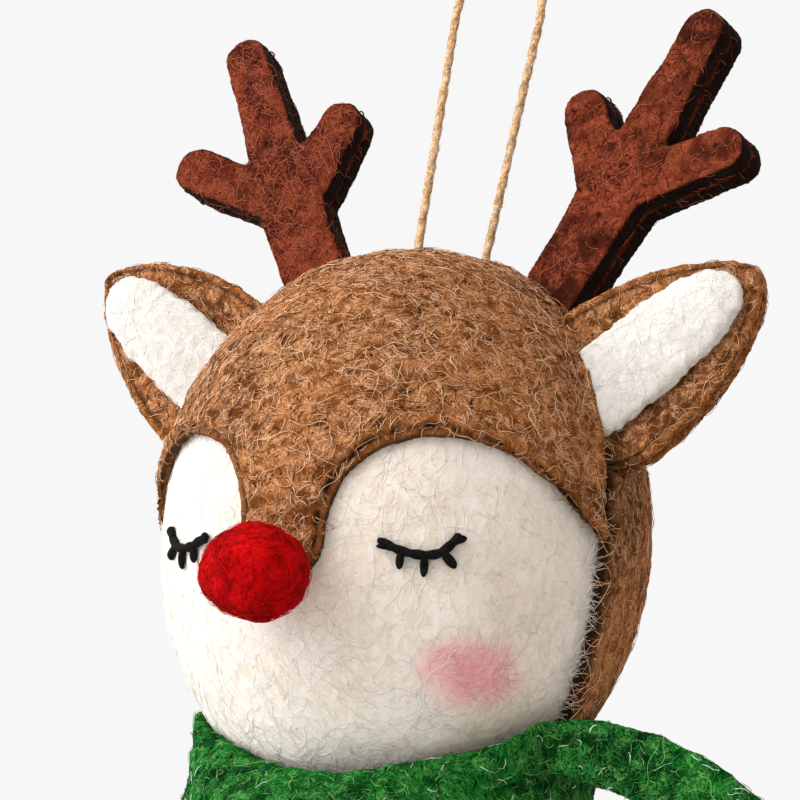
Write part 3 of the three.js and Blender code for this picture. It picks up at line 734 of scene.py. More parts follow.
def hairs_over(piece, name, count, length, width, shades, seed, slot, where=None, heading=None, weights=None,
               body="ornament", joints=6, **ways):
    """Hairs that start at points picked at random from a piece, where the condition holds.
    heading is one direction for all, or one for each point of the piece."""
    rng = np.random.default_rng(seed)
    points = points_of(piece)
    allowed = np.arange(len(points)) if where is None else np.flatnonzero(where)
    picked = rng.choice(allowed, count)
    aim = rng.normal(size=(count, 3))
    if heading is not None:
        wanted = np.broadcast_to(np.asarray(heading, float), points.shape)[picked]
        aim = unit(wanted) + AIM_SPREAD * aim
    start, lengths = placed(points[picked]), rng.uniform(*length, count)
    paths = wandering(piece, start, unit(aim), lengths, rng, joints, **ways)
    return hair_piece(name, paths, width, shades, rng, weights, body)


def coat(piece, nap, stray, seed, width=0.08, curl=0.8, stand=0.45, lift=0.05, **both):
    """A dense nap of short hairs that lie in the felt, and fewer long ones that stand off. Both take the same
    shades and slot, and the same condition, heading and weights where they are given."""
    hairs_over(piece, piece.name + "_nap", nap, NAP_LENGTH, width, seed=seed, curl=curl, lift=lift, **both)
    hairs_over(piece, piece.name + "_hairs", stray, STRAY_LENGTH, width, seed=seed + 1, joints=12,
               curl=0.7 * curl, lift=2 * lift, tip_lift=stand, **both)


# %% [markdown]
# ## The head
# A needle-felted egg of cream wool. The needle leaves small dents and near-vertical streaks, and wisps of
# pink wool are felted into the cheeks. An even ball is stretched to the egg, dented with noise, and
# marked with a share of pink that its material reads. Thousands of pale wisps lie on it, as on the real
# face, where the warmer cream shows between them.

# %% Egg shapes
def egg_radius(z, offset):
    """The radius of the egg at a height, or of a layer that far over it."""
    share = z / (HEAD_HALF_HEIGHT + offset)
    return (HEAD_HALF_WIDTH + offset) * np.sqrt(np.maximum(0, 1 - share * share))


def on_face(x, z, offset):
    """The place on the front of the egg, or of a layer that far over it."""
    return np.stack([x, -np.sqrt(np.maximum(0, egg_radius(z, offset) ** 2 - np.square(x))), z], axis=-1)


def egg_ball(name, columns, rows, half_sizes, centre, material):
    """A closed ball in even columns and rows, stretched to an egg of felted wool."""
    work = bmesh.new()
    bmesh.ops.create_uvsphere(work, u_segments=columns, v_segments=rows, radius=1)
    points = np.array([v.co for v in work.verts]) * half_sizes + centre
    faces = [[v.index for v in face.verts] for face in work.faces]
    work.free()
    piece = piece_from(name, placed(points), faces, material)
    return piece


# %% Head
# A cheek is its x, its z, its half width and its half height.
CHEEKS = [(20.9, -21.0, 5.9, 3.5), (-26.0, -20.6, 3.4, 3.0)]
HEAD_HALF = (HEAD_HALF_WIDTH, HEAD_HALF_WIDTH, HEAD_HALF_HEIGHT)
BLUSH = 0.78
FACE_BACK_Y = 4
FACE_TOP_Z = 8
FACE_SHADES = ["cream", "white"]
head = egg_ball("head", 240, 160, HEAD_HALF, (0, 0, 0), cream_wool)
lumpy(head, (9.0, 0.28), (3.5, 0.08), (1.4, 0.03))
points = points_of(head)
blush = np.zeros(len(points))
for x, z, half_width, half_height in CHEEKS:
    away = (points - on_face(x, z, 0.0)) / (half_width, half_width, half_height)
    ragged = np.linalg.norm(away, axis=1) + 0.3 * lumps(points, 3.0) + 0.15 * lumps(points, 1.1)
    blush = np.maximum(blush, BLUSH * eased(ragged, 1.65, 0.25))
mark(head, "blush", blush)
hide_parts("head_ball", "cheek_left", "cheek_right")
face = (points[:, 1] < FACE_BACK_Y) & (points[:, 2] < FACE_TOP_Z)
coat(head, nap=7000, stray=130, shades=FACE_SHADES, weights=(0.3, 0.7), seed=1, slot="cream_wool", where=face,
     heading=(0, 0, -1), width=0.05, curl=0.9, stand=0.2, lift=0.01)
hairs_over(head, "face_wisps", count=3000, length=(3, 9), width=0.07, shades=FACE_SHADES, seed=5,
           slot="cream_wool", where=face & (blush < 0.25), weights=(0.2, 0.8), joints=10, curl=0.6, lift=0.05,
           tip_lift=0.4)
hairs_over(head, "cheek_hairs", count=360, length=(1.5, 5), width=0.06, shades=["pink", "rose"], seed=3,
           slot="pink_wool", where=blush > 0.3, heading=(1, 0, -0.2), weights=(0.75, 0.25), curl=0.6,
           lift=0.02)
print("head:", len(points), "points, blush over", int((blush > 0.3).sum()))

# %% [markdown]
# ## The hood
# Two pieces of brown felt. The front cap has an arch over each eye with a rolled hem, and the rear hood
# covers the sides and the back. Where they meet, both edges are puffed, and the gap between them is painted
# dark as shade. The seam and the hem are known curves, so each point's distance from them shapes the roll,
# the sewn groove and the painted shade in the creases.

# %% The hood's lines
SEAM_FORWARD_Y = -7.6
SEAM_FORWARD_Z = 9
SEAM_ARC_RADIUS = 63
HOOD_HEM_Z = -27.5
ARCH_CENTRE_X = 19.6
ARCH_CENTRE_Z = -7.4
ARCH_RADIUS = 13.6
ARCH_END = math.radians(20)
PEAK_TIP_Z = -12.8
PEAK_TIP_HALF_WIDTH = 2
LINE_STEP = 0.25
HEM_STITCHES = (2.6, 5.4)


def seam_y(z):
    return SEAM_FORWARD_Y + SEAM_ARC_RADIUS - np.sqrt(SEAM_ARC_RADIUS ** 2 - np.square(z - SEAM_FORWARD_Z))


def seam_line(bottom):
    """The seam over the crown, from side to side, on the outside of the hood."""
    z = np.linspace(bottom, HEAD_HALF_HEIGHT + HOOD_OUTSIDE, 600)
    width = egg_radius(z, HOOD_OUTSIDE) ** 2 - seam_y(z) ** 2
    z = z[width > 0]
    left = np.stack([np.sqrt(width[width > 0]), seam_y(z), z], axis=1)
    return curve_through(np.vstack([left, left[::-1] * (-1, 1, 1)]), LINE_STEP)


def hem_line():
    """The front cap's lower edge, from its left end over the peak to its right end."""
    angle = np.linspace(ARCH_END, math.pi, 80)
    round_arch = ARCH_RADIUS * np.stack([np.cos(angle), np.sin(angle)], axis=1)
    arch = (ARCH_CENTRE_X, ARCH_CENTRE_Z) + round_arch
    share = np.linspace(0, 1, 20)[1:, None]
    peak_x = ARCH_CENTRE_X - ARCH_RADIUS
    corners = np.array([(peak_x, ARCH_CENTRE_Z), (peak_x, PEAK_TIP_Z), (PEAK_TIP_HALF_WIDTH, PEAK_TIP_Z)])
    peak = (1 - share) ** 2 * corners[0] + 2 * share * (1 - share) * corners[1] + share ** 2 * corners[2]
    half = np.vstack([arch, peak])
    return curve_through(on_face(*np.vstack([half, half[::-1] * (-1, 1)]).T, HOOD_OUTSIDE), LINE_STEP)


cap_hem = hem_line()
stitch_at = np.cumsum(np.random.default_rng(7).uniform(*HEM_STITCHES, len(cap_hem)))
stitch_at = stitch_at[stitch_at < len(cap_hem) * LINE_STEP - 2]
cap_seam = seam_line(cap_hem[0, 2])
hood_seam = seam_line(HOOD_HEM_Z)
print(f"hem {len(cap_hem) * LINE_STEP:.0f} mm, seam {len(hood_seam) * LINE_STEP:.0f} mm")

# %% Front cap
EGG_COLUMN = 2 * math.pi / 32
EGG_ROW = math.pi / 18
ARCH_FACET = math.radians(20)
HOOD_LUMPS = ((9.0, 0.3), (3.2, 0.2), (1.3, 0.1))
BROWN_FELT = dict(material=brown_felt, slot="brown_felt")
egg_half = np.array(HEAD_HALF) + HOOD_OUTSIDE / 2


def true_egg(points):
    """Moves points of the CAD's faceted egg out to the smooth one."""
    ball = true_circle(points / egg_half, 0, 1, (0, 0), EGG_COLUMN)
    level = np.hypot(ball[:, 0], ball[:, 1])
    profile = true_circle(np.stack([level, ball[:, 2]], axis=1), 0, 1, (0, 0), EGG_ROW)
    ball[:, :2] *= (profile[:, 0] / np.maximum(level, 1e-6))[:, None]
    ball[:, 2] = profile[:, 1]
    return ball * egg_half


def egg_normal(points):
    return unit(points / egg_half ** 2)


front_cap = felted("front_cap", ["hood_front"], voxel=0.32, smoothing=5, **BROWN_FELT)
points = true_egg(points_of(front_cap))
for side in (1, -1):
    centre = np.array((side * ARCH_CENTRE_X, ARCH_CENTRE_Z))
    reach = np.hypot(points[:, 0] - centre[0], points[:, 2] - centre[1])
    near = np.clip((ARCH_RADIUS + 4 - reach) / 3, 0, 1) * (points[:, 1] < 0) * (points[:, 2] > ARCH_CENTRE_Z)
    points = true_circle(points, 0, 2, centre, ARCH_FACET, near)
move_points(front_cap, points)
lumpy(front_cap, *HOOD_LUMPS)
points = points_of(front_cap)
outward = egg_normal(points)
outside = facing(front_cap, outward)
from_hem, along_hem = nearest(points, cap_hem)
from_seam, _ = nearest(points, cap_seam)

# The hem rolls up above a sewn groove, is pulled down at each stitch, and ends in a thin band. The edge at
# the seam puckers.
pull = bell(np.abs(along_hem[:, None] * LINE_STEP - stitch_at).min(1), 0, 0.9)
puckers = lumps(points, 2.2, 5.0)
wavy = from_hem + 0.3 * lumps(points, 2.6, 1.0)
band = 1 - eased(wavy, 0.9, 1.5)
height = 0.28 * bell(wavy, 2.2, 0.9) * (1 - 0.5 * pull) - 0.45 * band - 0.3 * bell(wavy, 1.2, 0.35)
height += (0.5 + 0.25 * puckers) * bell(from_seam, 1.6, 1.2) - 0.35 * bell(from_seam, 0, 0.5)
move_points(front_cap, points + outward * (height * outside)[:, None])
mark(front_cap, "hem", 0.5 * (1 - eased(wavy, 1.4, 2.6)))
# Painted shade: a broken dark line in the sewn groove, a darker thin band below it, dark in the gap at the
# seam, and darker on the cap's inside.
broken = eased(lumps(points, 1.7, 3.0), -0.3, 0.15)
dark = 0.9 * bell(wavy, 1.2, 0.34) * broken + 0.4 * band + 0.9 * bell(from_seam, 0, 0.85)
mark(front_cap, "shade_and_seam", dark + (1 - outside) * 0.5)
cap_felt = outside * (wavy > 1.0) > 0.4
print("front cap:", len(points), "points")

# %% Rear hood
LOBE_PITCH = 6.5
rear_hood = felted("rear_hood", ["hood_back"], voxel=0.42, smoothing=5, **BROWN_FELT)
move_points(rear_hood, true_egg(points_of(rear_hood)))
lumpy(rear_hood, *HOOD_LUMPS)
points = points_of(rear_hood)
outward = egg_normal(points)
outside = facing(rear_hood, outward)
from_seam, along_seam = nearest(points, hood_seam)
lobes = 0.5 + 0.5 * np.cos(2 * math.pi * along_seam * LINE_STEP / LOBE_PITCH + 2 * lumps(points, 8.0, 4.0))
puffed = (0.3 + 0.55 * lobes) * bell(from_seam, 1.7, 1.3) * outside
move_points(rear_hood, points + outward * puffed[:, None])
mark(rear_hood, "hem", np.zeros(len(points)))
# Painted shade: dark in the gap at the seam, and darker on the hood's inside.
mark(rear_hood, "shade_and_seam", 0.95 * bell(from_seam, 0, 1.3) + (1 - outside) * 0.6)
hood_felt = outside > 0.4
print("rear hood:", len(points), "points")

# %% [markdown]
# A thin grey-brown thread sews the hem down by hand. It runs in the groove above the edge, and at uneven
# steps a stitch crosses the edge and catches the face below it.

# %% Hem stitches
rng = np.random.default_rng(8)
hem_along = unit(np.gradient(cap_hem, axis=0))
hem_out = egg_normal(cap_hem)
hem_in = unit(np.cross(hem_along, hem_out))
hem_in *= np.sign((hem_in * (0, 0, 1)).sum(1, keepdims=True) + 1e-9)


def by_hem(at, inward, height):
    """The place beside the hem: at along it, inward from it and out from the felt, in millimetres."""
    index = int(np.clip(at / LINE_STEP, 0, len(cap_hem) - 1))
    return cap_hem[index] + hem_in[index] * inward + hem_out[index] * height


stitches = []
for before, at in zip([0.5, *stitch_at], stitch_at):
    groove, lean = rng.uniform(1.1, 1.6, 2), rng.uniform(0.3, 1.2)
    middle = before + (at - before) * rng.uniform(0.3, 0.7)
    stitches.append(curve_through([
        by_hem(before + 0.6, groove[0], -0.7), by_hem(middle, groove[1], -0.4), by_hem(at - lean, 1.3, -0.3),
        by_hem(at - lean / 2, 0.7, -0.2), by_hem(at, 0.15, -0.4), by_hem(at, -0.05, -1.0)], 0.2))
threads_piece("hem_stitches", stitches, diameter=0.18, pitch=1.2, material=sewing_thread,
              sides=6)
print(len(stitches), "stitches on the hem")

# %% [markdown]
# The hood's loose hairs come in four browns. Below the cap a fringe of cream wool stands out of the gap
# between the face and the rear hood, and brown hairs cross the seam. Both follow the seam and not a surface,
# so their paths are written out. The brown ones keep clear of the twine, which moves against the hood, and
# of the face's far side, where they would show in front of the background.

# %% Hood hairs
BROWN_SHADES = ["tan", "fawn", "brown", "umber"]
BROWN_COAT = dict(shades=BROWN_SHADES, weights=(0.3, 0.31, 0.2, 0.19), slot="brown_felt")
coat(front_cap, nap=7500, stray=520, seed=11, where=cap_felt, **BROWN_COAT)
coat(rear_hood, nap=7000, stray=560, seed=13, where=hood_felt, **BROWN_COAT)
below_cap = hood_seam[:, 2] < cap_hem[0, 2]


def beside_seam(picked):
    """The picked places of the seam, and the arrows along it, across it and out from it."""
    along = unit(np.gradient(hood_seam, axis=0))[picked]
    out = egg_normal(hood_seam)[picked]
    return [rows[:, None] for rows in (hood_seam[picked], along, np.cross(along, out), out)]


# A hair of the fringe starts that far in front of the seam, ends that far behind it, and rises that far.
FRINGE_HAIRS = 340
FRINGE_RANGES = ((0.3, 3.6), (-1.4, 0.9), (0.4, 2.4))
FRINGE_SPREAD = 1.8
rng = np.random.default_rng(17)
place, along, across, out = beside_seam(rng.choice(np.flatnonzero(below_cap), FRINGE_HAIRS))
share = np.linspace(0, 1, 10)[None, :, None]
start, end, rise = (rng.uniform(*limits, (FRINGE_HAIRS, 1, 1)) for limits in FRINGE_RANGES)
slant, bow = rng.normal(0, FRINGE_SPREAD, (2, FRINGE_HAIRS, 1, 1))
paths = place + across * (end * share - start * (1 - share))
paths = paths + along * (slant * share + bow * np.sin(2.5 * share) * share)
paths = paths + out * (rise * share ** 1.3 - HOOD_OUTSIDE - 0.05)
hair_piece("face_fringe", placed(paths), width=0.07, shades=FACE_SHADES, rng=rng)

SEAM_HAIRS = 110
SEAM_REACH = (1.2, 3.0)
SEAM_SPREAD = 1.4
TWINE_ROOM = 6
rng = np.random.default_rng(15)
from_twine = np.abs(np.abs(hood_seam[:, 0]) - TWINE_LEFT_X)
far_side = (hood_seam[:, 0] < 0) & below_cap
allowed = np.flatnonzero((from_twine > TWINE_ROOM) & ~far_side)
place, along, across, out = beside_seam(rng.choice(allowed, SEAM_HAIRS))
share = np.linspace(-1, 1, 12)[None, :, None]
reach = rng.uniform(*SEAM_REACH, (SEAM_HAIRS, 1, 1))
slant, bow = rng.normal(0, SEAM_SPREAD, (2, SEAM_HAIRS, 1, 1))
paths = place + across * reach * share
paths = paths + along * (slant * share + bow * share ** 2)
paths = paths + out * (0.75 - 0.9 * share ** 2)
hair_piece("seam_hairs", placed(paths), width=0.09, shades=["tan", "fawn"], rng=rng)
print("hood hairs:", FRINGE_HAIRS, "in the fringe,", SEAM_HAIRS, "over the seam")

# %% [markdown]
# ## Nose, eyes
# The nose is a tightly felted red ball that sits on the cap's peak. The eyes are closed lids with lashes in
# black embroidery thread. The ball is dented with noise and pressed flat where it meets the cap, and the
# threads are two-ply tubes laid on the face.

# %% Nose
NOSE_HALF = (6.85, 6.15, 5.8)
NOSE_Z = -14.4
NOSE_STAND_OFF = 5.2
NOSE_HAIRS_BACK = 2
OVER_HOOD = 2.2
nose_y = -egg_radius(NOSE_Z, HOOD_OUTSIDE) - NOSE_STAND_OFF
nose = egg_ball("nose", 120, 80, NOSE_HALF, (0, nose_y, NOSE_Z), red_wool)
lumpy(nose, (4.0, 0.35), (1.6, 0.16), (0.8, 0.08))
points = points_of(nose)
points[:, 1] = np.minimum(points[:, 1], on_face(points[:, 0], points[:, 2], OVER_HOOD)[:, 1])
move_points(nose, points)
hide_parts("nose_ball")
coat(nose, nap=1100, stray=130, shades=["red", "crimson"], weights=(0.6, 0.4), seed=21, slot="red_wool",
     where=points[:, 1] < nose_y + NOSE_HAIRS_BACK, width=0.07)
print("nose:", len(points), "points")

# %% Eyes
EYE_THREAD = 1.25
EYE_THREAD_PITCH = 4.0
EYE_LIFT = 0.62
LID = [(12.05, -7.85), (13.06, -8.33), (14.64, -8.83), (15.93, -8.98), (17.18, -8.9), (18.46, -8.52),
       (19.41, -7.64), (20.13, -6.62), (20.73, -5.62)]
LASHES = [[(13.3, -8.45), (11.89, -8.74)], [(14.65, -9.0), (14.61, -10.17), (14.55, -11.08)],
          [(17.18, -9.0), (17.21, -10.35), (17.14, -11.51)], [(19.0, -8.2), (19.81, -9.04), (20.37, -9.73)],
          [(19.94, -6.92), (20.6, -6.34), (21.33, -5.92)]]
THREAD_TIPS = [1.0, 0.4, 0.7, 0.75, 1.0, 0.7]
SIDES = (("left", 1), ("right", -1))
for name, side in SIDES:
    lines = [on_face(*np.array(line).T, EYE_LIFT) * (side, 1, 1) for line in [LID, *LASHES]]
    eye = threads_piece(f"eye_{name}_thread", [curve_through(line, 0.15) for line in lines], EYE_THREAD,
                        EYE_THREAD_PITCH, black_thread, sides=12, tips=THREAD_TIPS)
    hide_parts("eye_" + name)
print("eyes:", len(LASHES), "lashes each")

# %% [markdown]
# ## Antlers
# Two layers of stiff felt, cut in one outline and sewn together along their edges. The cut edges are painted
# nearly black, an edge colour that also stands in for the shade on them, and small whip stitches cross the
# joint between the layers. The right antler has a denser and paler nap: painted light, so that it looks more
# brightly lit.

# %% Antlers
ANTLER_YAW = math.radians(5)
ANTLER_SHOWS_Z = 36
ANTLER_SEWN_Z = 40
STITCH_SPACING = 3.0
STITCH_OVER_EDGE = [(-1.0, -0.2), (-0.4, 0.25), (0.5, 0.25), (1.0, -0.2)]
# Each antler has its number of nap hairs, and the weights of the shades rust, maroon and soot. The right
# antler's denser, paler nap is painted light.
ANTLER_NAP_AND_PAINTED_LIGHT = {"left": (1000, (0.4, 0.4, 0.2)), "right": (2200, (0.8, 0.2, 0.0))}
DARK_FELT = dict(material=dark_felt, slot="dark_felt")
DARK_COAT = dict(shades=["rust", "maroon", "soot"], slot="dark_felt", stand=0.2)


def spaced_out(points, apart):
    """Picks points that are at least that far from each other."""
    picked = []
    for place in points:
        if all(np.linalg.norm(place - other) > apart for other in picked):
            picked.append(place)
    return picked


for name, side in SIDES:
    through = np.array((side * math.sin(ANTLER_YAW), math.cos(ANTLER_YAW), 0))
    nap, weights = ANTLER_NAP_AND_PAINTED_LIGHT[name]
    stitches = []
    for layer in ("front", "back"):
        node_name = f"antler_{name}_{layer}"
        antler = felted(node_name + "_felt", [node_name], voxel=0.4, smoothing=4, **DARK_FELT)
        lumpy(antler, (6.0, 0.25), (2.2, 0.14), (1.0, 0.08))
        points, normals = points_of(antler), normals_of(antler)
        flatness = np.abs(normals @ through)
        # Edges that face aside take the near black edge colour, which is partly painted shade.
        mark(antler, "edge", eased(flatness, 0.85, 0.6))
        shows = (points[:, 2] > ANTLER_SHOWS_Z) & (flatness > 0.95)
        coat(antler, nap, stray=60, seed=31, weights=weights, where=shows, **DARK_COAT)
        if layer == "back":
            depth = points @ through
            joint = (flatness < 0.35) & (np.abs(depth - depth.min()) < 0.8) & (points[:, 2] > ANTLER_SEWN_Z)
            for place in spaced_out(points[joint], STITCH_SPACING):
                out = normals[np.argmin(np.linalg.norm(points - place, axis=1))]
                over = [place + through * w + out * h for w, h in STITCH_OVER_EDGE]
                stitches.append(curve_through(over, 0.15))
    threads_piece(f"antler_{name}_stitches", stitches, diameter=0.24, pitch=1.0, material=dark_thread,
                  sides=6)
    print(f"antler {name}: {len(stitches)} stitches")

# %% [markdown]
# ## Ears
# Two brown layers and a lining of white wool, cut as leaves and cupped. The lining is thick and puffy, its
# edge is soft and ragged, and a thread runs round inside the brown rim. Both ears are placed by hand, so
# each has its own base, rise and lean, and the lining sits a little differently on each.

# %% Ear shapes
# An ear is its side, its base's x and z, its rise in degrees, its lean, and its lining's shift across.
EARS = {"left": (1, 27.0, 16.9, 41.6, 0.02, -0.1), "right": (-1, 25.57, 18.75, 36.1, 0.2, -0.7)}
EAR_BEHIND_SEAM = 5.2
EAR_LENGTH = 28.3
EAR_HALF_WIDTH = 12
EAR_ROOT = 9
EAR_FULL_AT = 2
EAR_TIP = (2.2, 0.7)
EAR_CUP = 2.4
EAR_TIP_CUP_SHARE = 0.4
LINING_LENGTH = 25.4
LINING_HALF_WIDTH = 5.9
LINING_TIP = (4, 0.44)


def leaf_half_width(along, length, half_width, tip):
    """Half the width of a leaf. tip holds the two powers that round its end."""
    end = (1 - np.clip(along / length, 0, 1) ** tip[0]) ** tip[1]
    return half_width * end * (1 + eased(along, -EAR_ROOT, EAR_FULL_AT)) / 2


def rim_half_width(along):
    return leaf_half_width(along, EAR_LENGTH, EAR_HALF_WIDTH, EAR_TIP)


def ear_place(ear, along, across, lift):
    """The place that far along an ear, across it and out from its back."""
    side, base_x, base_z, rise, lean, _ = ear
    outwards, upwards = math.cos(math.radians(rise)), math.sin(math.radians(rise))
    towards_tip = np.maximum(0, along / EAR_LENGTH)
    cup = EAR_CUP * (across / EAR_HALF_WIDTH) ** 2 * (1 + (EAR_TIP_CUP_SHARE - 1) * towards_tip)
    above = along * upwards + across * outwards
    y = seam_y(base_z) + EAR_BEHIND_SEAM - lean * above - lift - cup
    return np.stack([side * (base_x + along * outwards - across * upwards), y, base_z + above], axis=-1)


def on_ear(ear, points):
    """How far points are along an ear, and across it."""
    side, base_x, base_z, rise = ear[:4]
    outwards, upwards = math.cos(math.radians(rise)), math.sin(math.radians(rise))
    x, z = side * points[:, 0] - base_x, points[:, 2] - base_z
    return x * outwards + z * upwards, z * outwards - x * upwards


# %% Ear felt
RIM_STITCH = 1.3
RIM_STITCH_LIFT = 3.58
RIM_FROM, RIM_TO = 1, 26
STITCH_POINTS = 8
STITCH_STEP = 15
EAR_LAYERS = (("back", brown_felt, "brown_felt"), ("front", brown_felt, "brown_felt"),
              ("lining", white_wool, "white_felt"))
EAR_WEIGHTS = (0.12, 0.3, 0.36, 0.22)
for name, set_up in EARS.items():
    for layer, material, slot in EAR_LAYERS:
        node_name = f"ear_{name}_{layer}"
        ear = felted(node_name + "_felt", [node_name], voxel=0.4, smoothing=6, material=material, slot=slot)
        lumpy(ear, (5.0, 0.2), (2.0, 0.15), (0.9, 0.08))
        points, normals = points_of(ear), normals_of(ear)
        along, across = on_ear(set_up, points)
        forward = facing(ear, (0, -1, 0))
        if layer == "lining":
            half_width, long = LINING_HALF_WIDTH, LINING_LENGTH
            leaf = leaf_half_width(along, long, half_width, LINING_TIP)
            share = (across - set_up[-1]) / np.maximum(leaf, 0.5)
            puff = 1.3 * np.clip(1 - share ** 2, 0, 1) ** 0.6 * np.clip((long - along) / 4, 0, 1)
            points = points + normals * (0.4 * lumps(points, 1.3) * eased(np.abs(share), 0.7, 1.0))[:, None]
            move_points(ear, points - np.stack([0 * puff, puff * forward, 0 * puff], axis=1))
            coat(ear, nap=900, stray=90, shades=["white", "cream"], weights=(0.8, 0.2), seed=41, slot=slot,
                 where=along > 0, width=0.06)
        else:
            half_width, long = EAR_HALF_WIDTH, EAR_LENGTH
            rim = rim_half_width(along) - np.abs(across)
            mark(ear, "hem", (1.3 - rim / RIM_STITCH) * 0.4)
            # Painted shade: a dark line along the stitches inside the rim on the front layer, and darker at
            # the root, where the ear goes into the hood.
            rim_shade = 0.8 * bell(rim, RIM_STITCH, 0.3) * forward * (layer == "front")
            mark(ear, "shade_and_seam", rim_shade + 0.6 * np.clip(1 - along / 3, 0, 1))
            coat(ear, nap=1300, stray=110, shades=BROWN_SHADES, weights=EAR_WEIGHTS, seed=43, slot=slot,
                 where=along > 0)
    stitches = []
    for edge in (-1, 1):
        line_along = np.linspace(RIM_FROM, RIM_TO, 120)
        line_across = edge * (rim_half_width(line_along) - RIM_STITCH)
        line = curve_through(ear_place(set_up, line_along, line_across, RIM_STITCH_LIFT), 0.2)
        starts = range(0, len(line) - STITCH_POINTS - 1, STITCH_STEP)
        stitches += [line[start:start + STITCH_POINTS] for start in starts]
    threads_piece(f"ear_{name}_stitches", stitches, diameter=0.2, pitch=1.0, material=dark_thread,
                  sides=6)
    print(f"ear {name}: {len(stitches)} rim stitches")

# %% [markdown]
# ## Scarf
# A strip of green felt round the neck, drawn in under the chin and slack at the right side, with a free end
# that arches out to the left. Short dashes of silver thread run through it in rows. The dashes are laid as
# hairs are, but on the band they keep to the rows, and everywhere they take the strip's direction.

# %% Scarf band
NECK = np.array((2.5, 3.2))
SCARF_FACET = 2 * math.pi / 36
GREEN_FELT = dict(material=green_felt, slot="green_felt")
GREEN_COAT = dict(shades=["green", "pine", "lime"], weights=(0.45, 0.42, 0.13), slot="green_felt", curl=1.1)
SLACK_AT = math.radians(-62)
SILVER_ROWS_FROM = 1.0
SILVER_ROW_PITCH = 1.9
SILVER_ROW_HALF_WIDTH = 0.2
SILVER = dict(length=(1.4, 4.0), width=0.15, shades=["silver"], slot="green_felt", curl=0.8, lift=0.12)


def scarf_top(angle):
    """The height of the band's upper edge, by the angle round the neck from the front."""
    return -25 - 8.2 * np.cos(angle) - 1.7 * np.cos(2 * angle)


def from_neck(points):
    """Level arrows from the neck's axis to the points."""
    return (points - (*NECK, 0)) * (1, 1, 0)


def round_felt(name, nodes, facet, *layers, **finish):
    """Felt made round about the neck's axis and then lumpy, with its points and their arrows from it."""
    piece = felted(name, nodes, **finish)
    move_points(piece, true_circle(points_of(piece), 0, 1, NECK, facet))
    lumpy(piece, *layers)
    points = points_of(piece)
    return piece, points, from_neck(points)


scarf_band, points, from_axis = round_felt(
    "scarf_band_felt", ["scarf_band"], SCARF_FACET, (8.0, 0.4), (3.0, 0.32), (1.2, 0.16), voxel=0.45,
    smoothing=6, **GREEN_FELT)
angle = np.arctan2(from_axis[:, 0], -from_axis[:, 1])
below = scarf_top(angle) - points[:, 2]
slack = bell(angle, SLACK_AT, 0.9) * (1.1 * bell(below, 3.8, 2.4) - 0.9 * eased(below, 2.2, 0))
move_points(scarf_band, points + unit(from_axis) * slack[:, None])
round_neck = unit(np.cross((0, 0, 1), from_axis))
outer = (normals_of(scarf_band) * from_axis).sum(1) > 0
coat(scarf_band, nap=4800, stray=260, seed=51, where=outer, heading=round_neck, **GREEN_COAT)
from_row = np.abs((below - SILVER_ROWS_FROM) % SILVER_ROW_PITCH - SILVER_ROW_PITCH / 2)
in_row = outer & (from_row < SILVER_ROW_HALF_WIDTH)
hairs_over(scarf_band, "scarf_band_silver", count=100, seed=53, where=in_row, heading=round_neck, **SILVER)

# %% Scarf's free end
TAIL_CREST_X = 30
TAIL_ARCH_RADIUS = 28
scarf_tail = felted("scarf_tail_felt", ["scarf_tail"], voxel=0.36, smoothing=10, **GREEN_FELT)
lumpy(scarf_tail, (6.0, 0.35), (2.5, 0.25), (1.1, 0.14))
points = points_of(scarf_tail)
drop = -(points[:, 0] - TAIL_CREST_X) / TAIL_ARCH_RADIUS
tail_way = unit(np.stack([np.ones(len(points)), 0 * drop, drop], axis=1))
coat(scarf_tail, nap=1900, stray=120, seed=54, heading=tail_way, **GREEN_COAT)
hairs_over(scarf_tail, "scarf_tail_silver", count=44, seed=56, heading=tail_way, **SILVER)
print("scarf tail:", len(points), "points")

# %% [markdown]
# ## Body
# Below the photograph the body is a stuffed felt bell, closed underneath by a flat felt disc. The bell is
# sewn up at the back, and whip stitches join it to the disc all round.

# %% Body
BODY_FACET = 2 * math.pi / 28
BODY_HEM_RADIUS = 23.8
BODY_HEM_Z = -79
body, points, from_axis = round_felt(
    "body", ["body_cover", "body_filling"], BODY_FACET, (10.0, 0.4), (4.0, 0.25), (1.6, 0.12), voxel=0.6,
    smoothing=6, **BROWN_FELT)
outer = (normals_of(body) * from_axis).sum(1) > 2
back_seam = bell(from_axis[:, 0], 0, 0.7) * (from_axis[:, 1] > 0)
move_points(body, points - unit(from_axis) * (0.7 * back_seam * outer)[:, None])
mark(body, "hem", 0.8 * bell(points[:, 2], BODY_HEM_Z, 1.6))
mark(body, "shade_and_seam", 0.7 * back_seam * outer)
coat(body, nap=6500, stray=480, seed=61, where=outer, **BROWN_COAT)
print("body:", len(points), "points")

# %% Base disc
DISC_UNDER_Z = -80
base_disc, points, from_axis = round_felt(
    "base_disc_felt", ["base_disc"], BODY_FACET, (6.0, 0.15), (2.0, 0.1), voxel=0.5, smoothing=4,
    **BROWN_FELT)
mark(base_disc, "hem", 0.8 * bell(np.hypot(from_axis[:, 0], from_axis[:, 1]), BODY_HEM_RADIUS, 1.4))
mark(base_disc, "shade_and_seam", np.zeros(len(points)))
coat(base_disc, nap=1500, stray=60, seed=63, where=points[:, 2] < DISC_UNDER_Z, stand=0.1, **BROWN_COAT)
print("base disc:", len(points), "points")

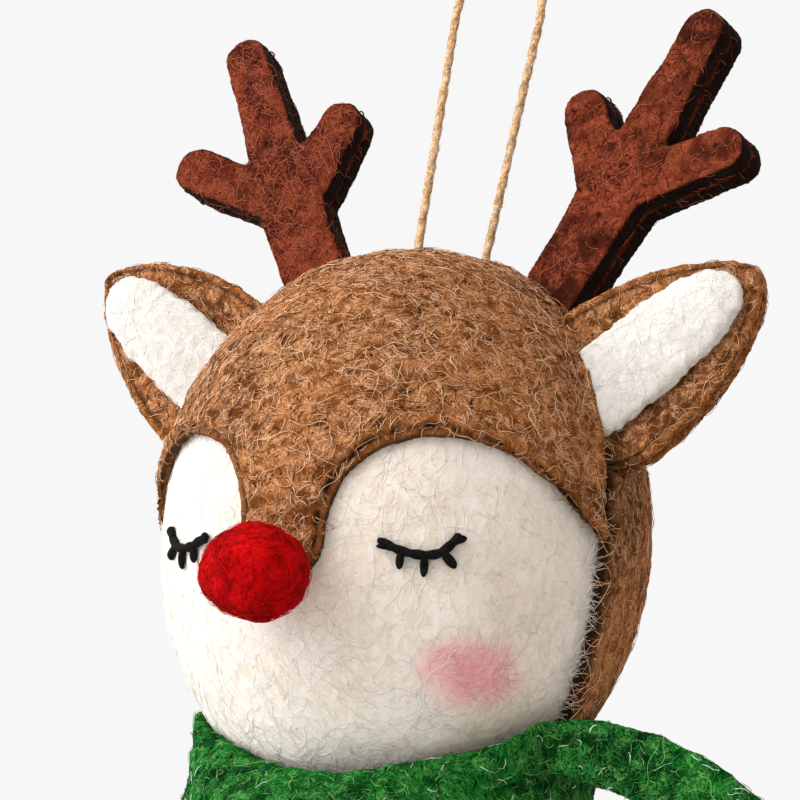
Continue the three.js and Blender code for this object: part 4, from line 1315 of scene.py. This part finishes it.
# %% Stitches round the base
BODY_STITCHES = 44
STITCH_LEAN = 0.3
STITCH_ROUND_HEM = [(-0.3, 2.0), (0.25, 1.4), (0.45, -0.2), (0.3, -1.9), (-0.8, -2.15), (-1.6, -1.9)]
hem_centre = np.array((*NECK, BODY_HEM_Z))
stitches = []
for turn in np.linspace(0, 2 * math.pi, BODY_STITCHES, endpoint=False):
    out = np.array((math.sin(turn), -math.cos(turn), 0))
    lean = np.array((math.cos(turn), math.sin(turn), 0)) * STITCH_LEAN
    stitches.append(curve_through(
        [hem_centre + out * (BODY_HEM_RADIUS + w) + (0, 0, h) + lean * h for w, h in STITCH_ROUND_HEM], 0.25))
threads_piece("body_stitches", stitches, diameter=0.4, pitch=1.2, material=sewing_thread,
              sides=8)
print("base:", len(stitches), "stitches")

# %% [markdown]
# ## Loose hairs on the twine
# The twine leaves the crown and goes back into it. Its fuzz rides on the same body, so it goes with it.

# %% Twine hairs
fuzz = hairs_over(twine, "twine_hairs", count=420, length=(0.8, 2.5), width=0.06, shades=["cream", "tan"],
                  seed=71, slot="twine", heading=(0, 0, 1), body="hanger", curl=0.7, lift=0.04, tip_lift=0.35)
print("twine hairs made")

# %% [markdown]
# ## Floor
# The ornament hangs, so a plain pale floor lies a little below it and keeps its shadow. The photograph
# doesn't show it.

# %% Floor
FLOOR_DROP = 0.06
FLOOR_RADIUS = 1.5
FLOOR_SIDES = 64
floor_mesh = bpy.data.meshes.new("floor")
turns = np.linspace(0, 2 * math.pi, FLOOR_SIDES, False)
floor_mesh.from_pydata([(FLOOR_RADIUS * math.cos(a), FLOOR_RADIUS * math.sin(a), 0) for a in turns], [],
                       [list(range(FLOOR_SIDES))])
floor = in_scene("floor", floor_mesh)
floor.location.z = cad_box[0][2] - FLOOR_DROP
pale_floor, tree, surface = new_material("pale floor")
speck = cloud(tree, node(tree, "ShaderNodeTexCoord").outputs["Object"], 40, 3.0)
paint = blended(tree, ramp(tree, speck, 0.35, 0.65), (0.8, 0.8, 0.79, 1), (0.84, 0.84, 0.83, 1))
tree.links.new(paint, surface.inputs["Base Color"])
surface.inputs["Roughness"].default_value = 0.9
floor_mesh.materials.append(pale_floor)
floor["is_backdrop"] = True
print("floor", FLOOR_DROP, "m below the ornament")

# %% Close
low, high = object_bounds()
print("dressed size", [round((b - a) * 1000, 1) for a, b in zip(low, high)], "mm")
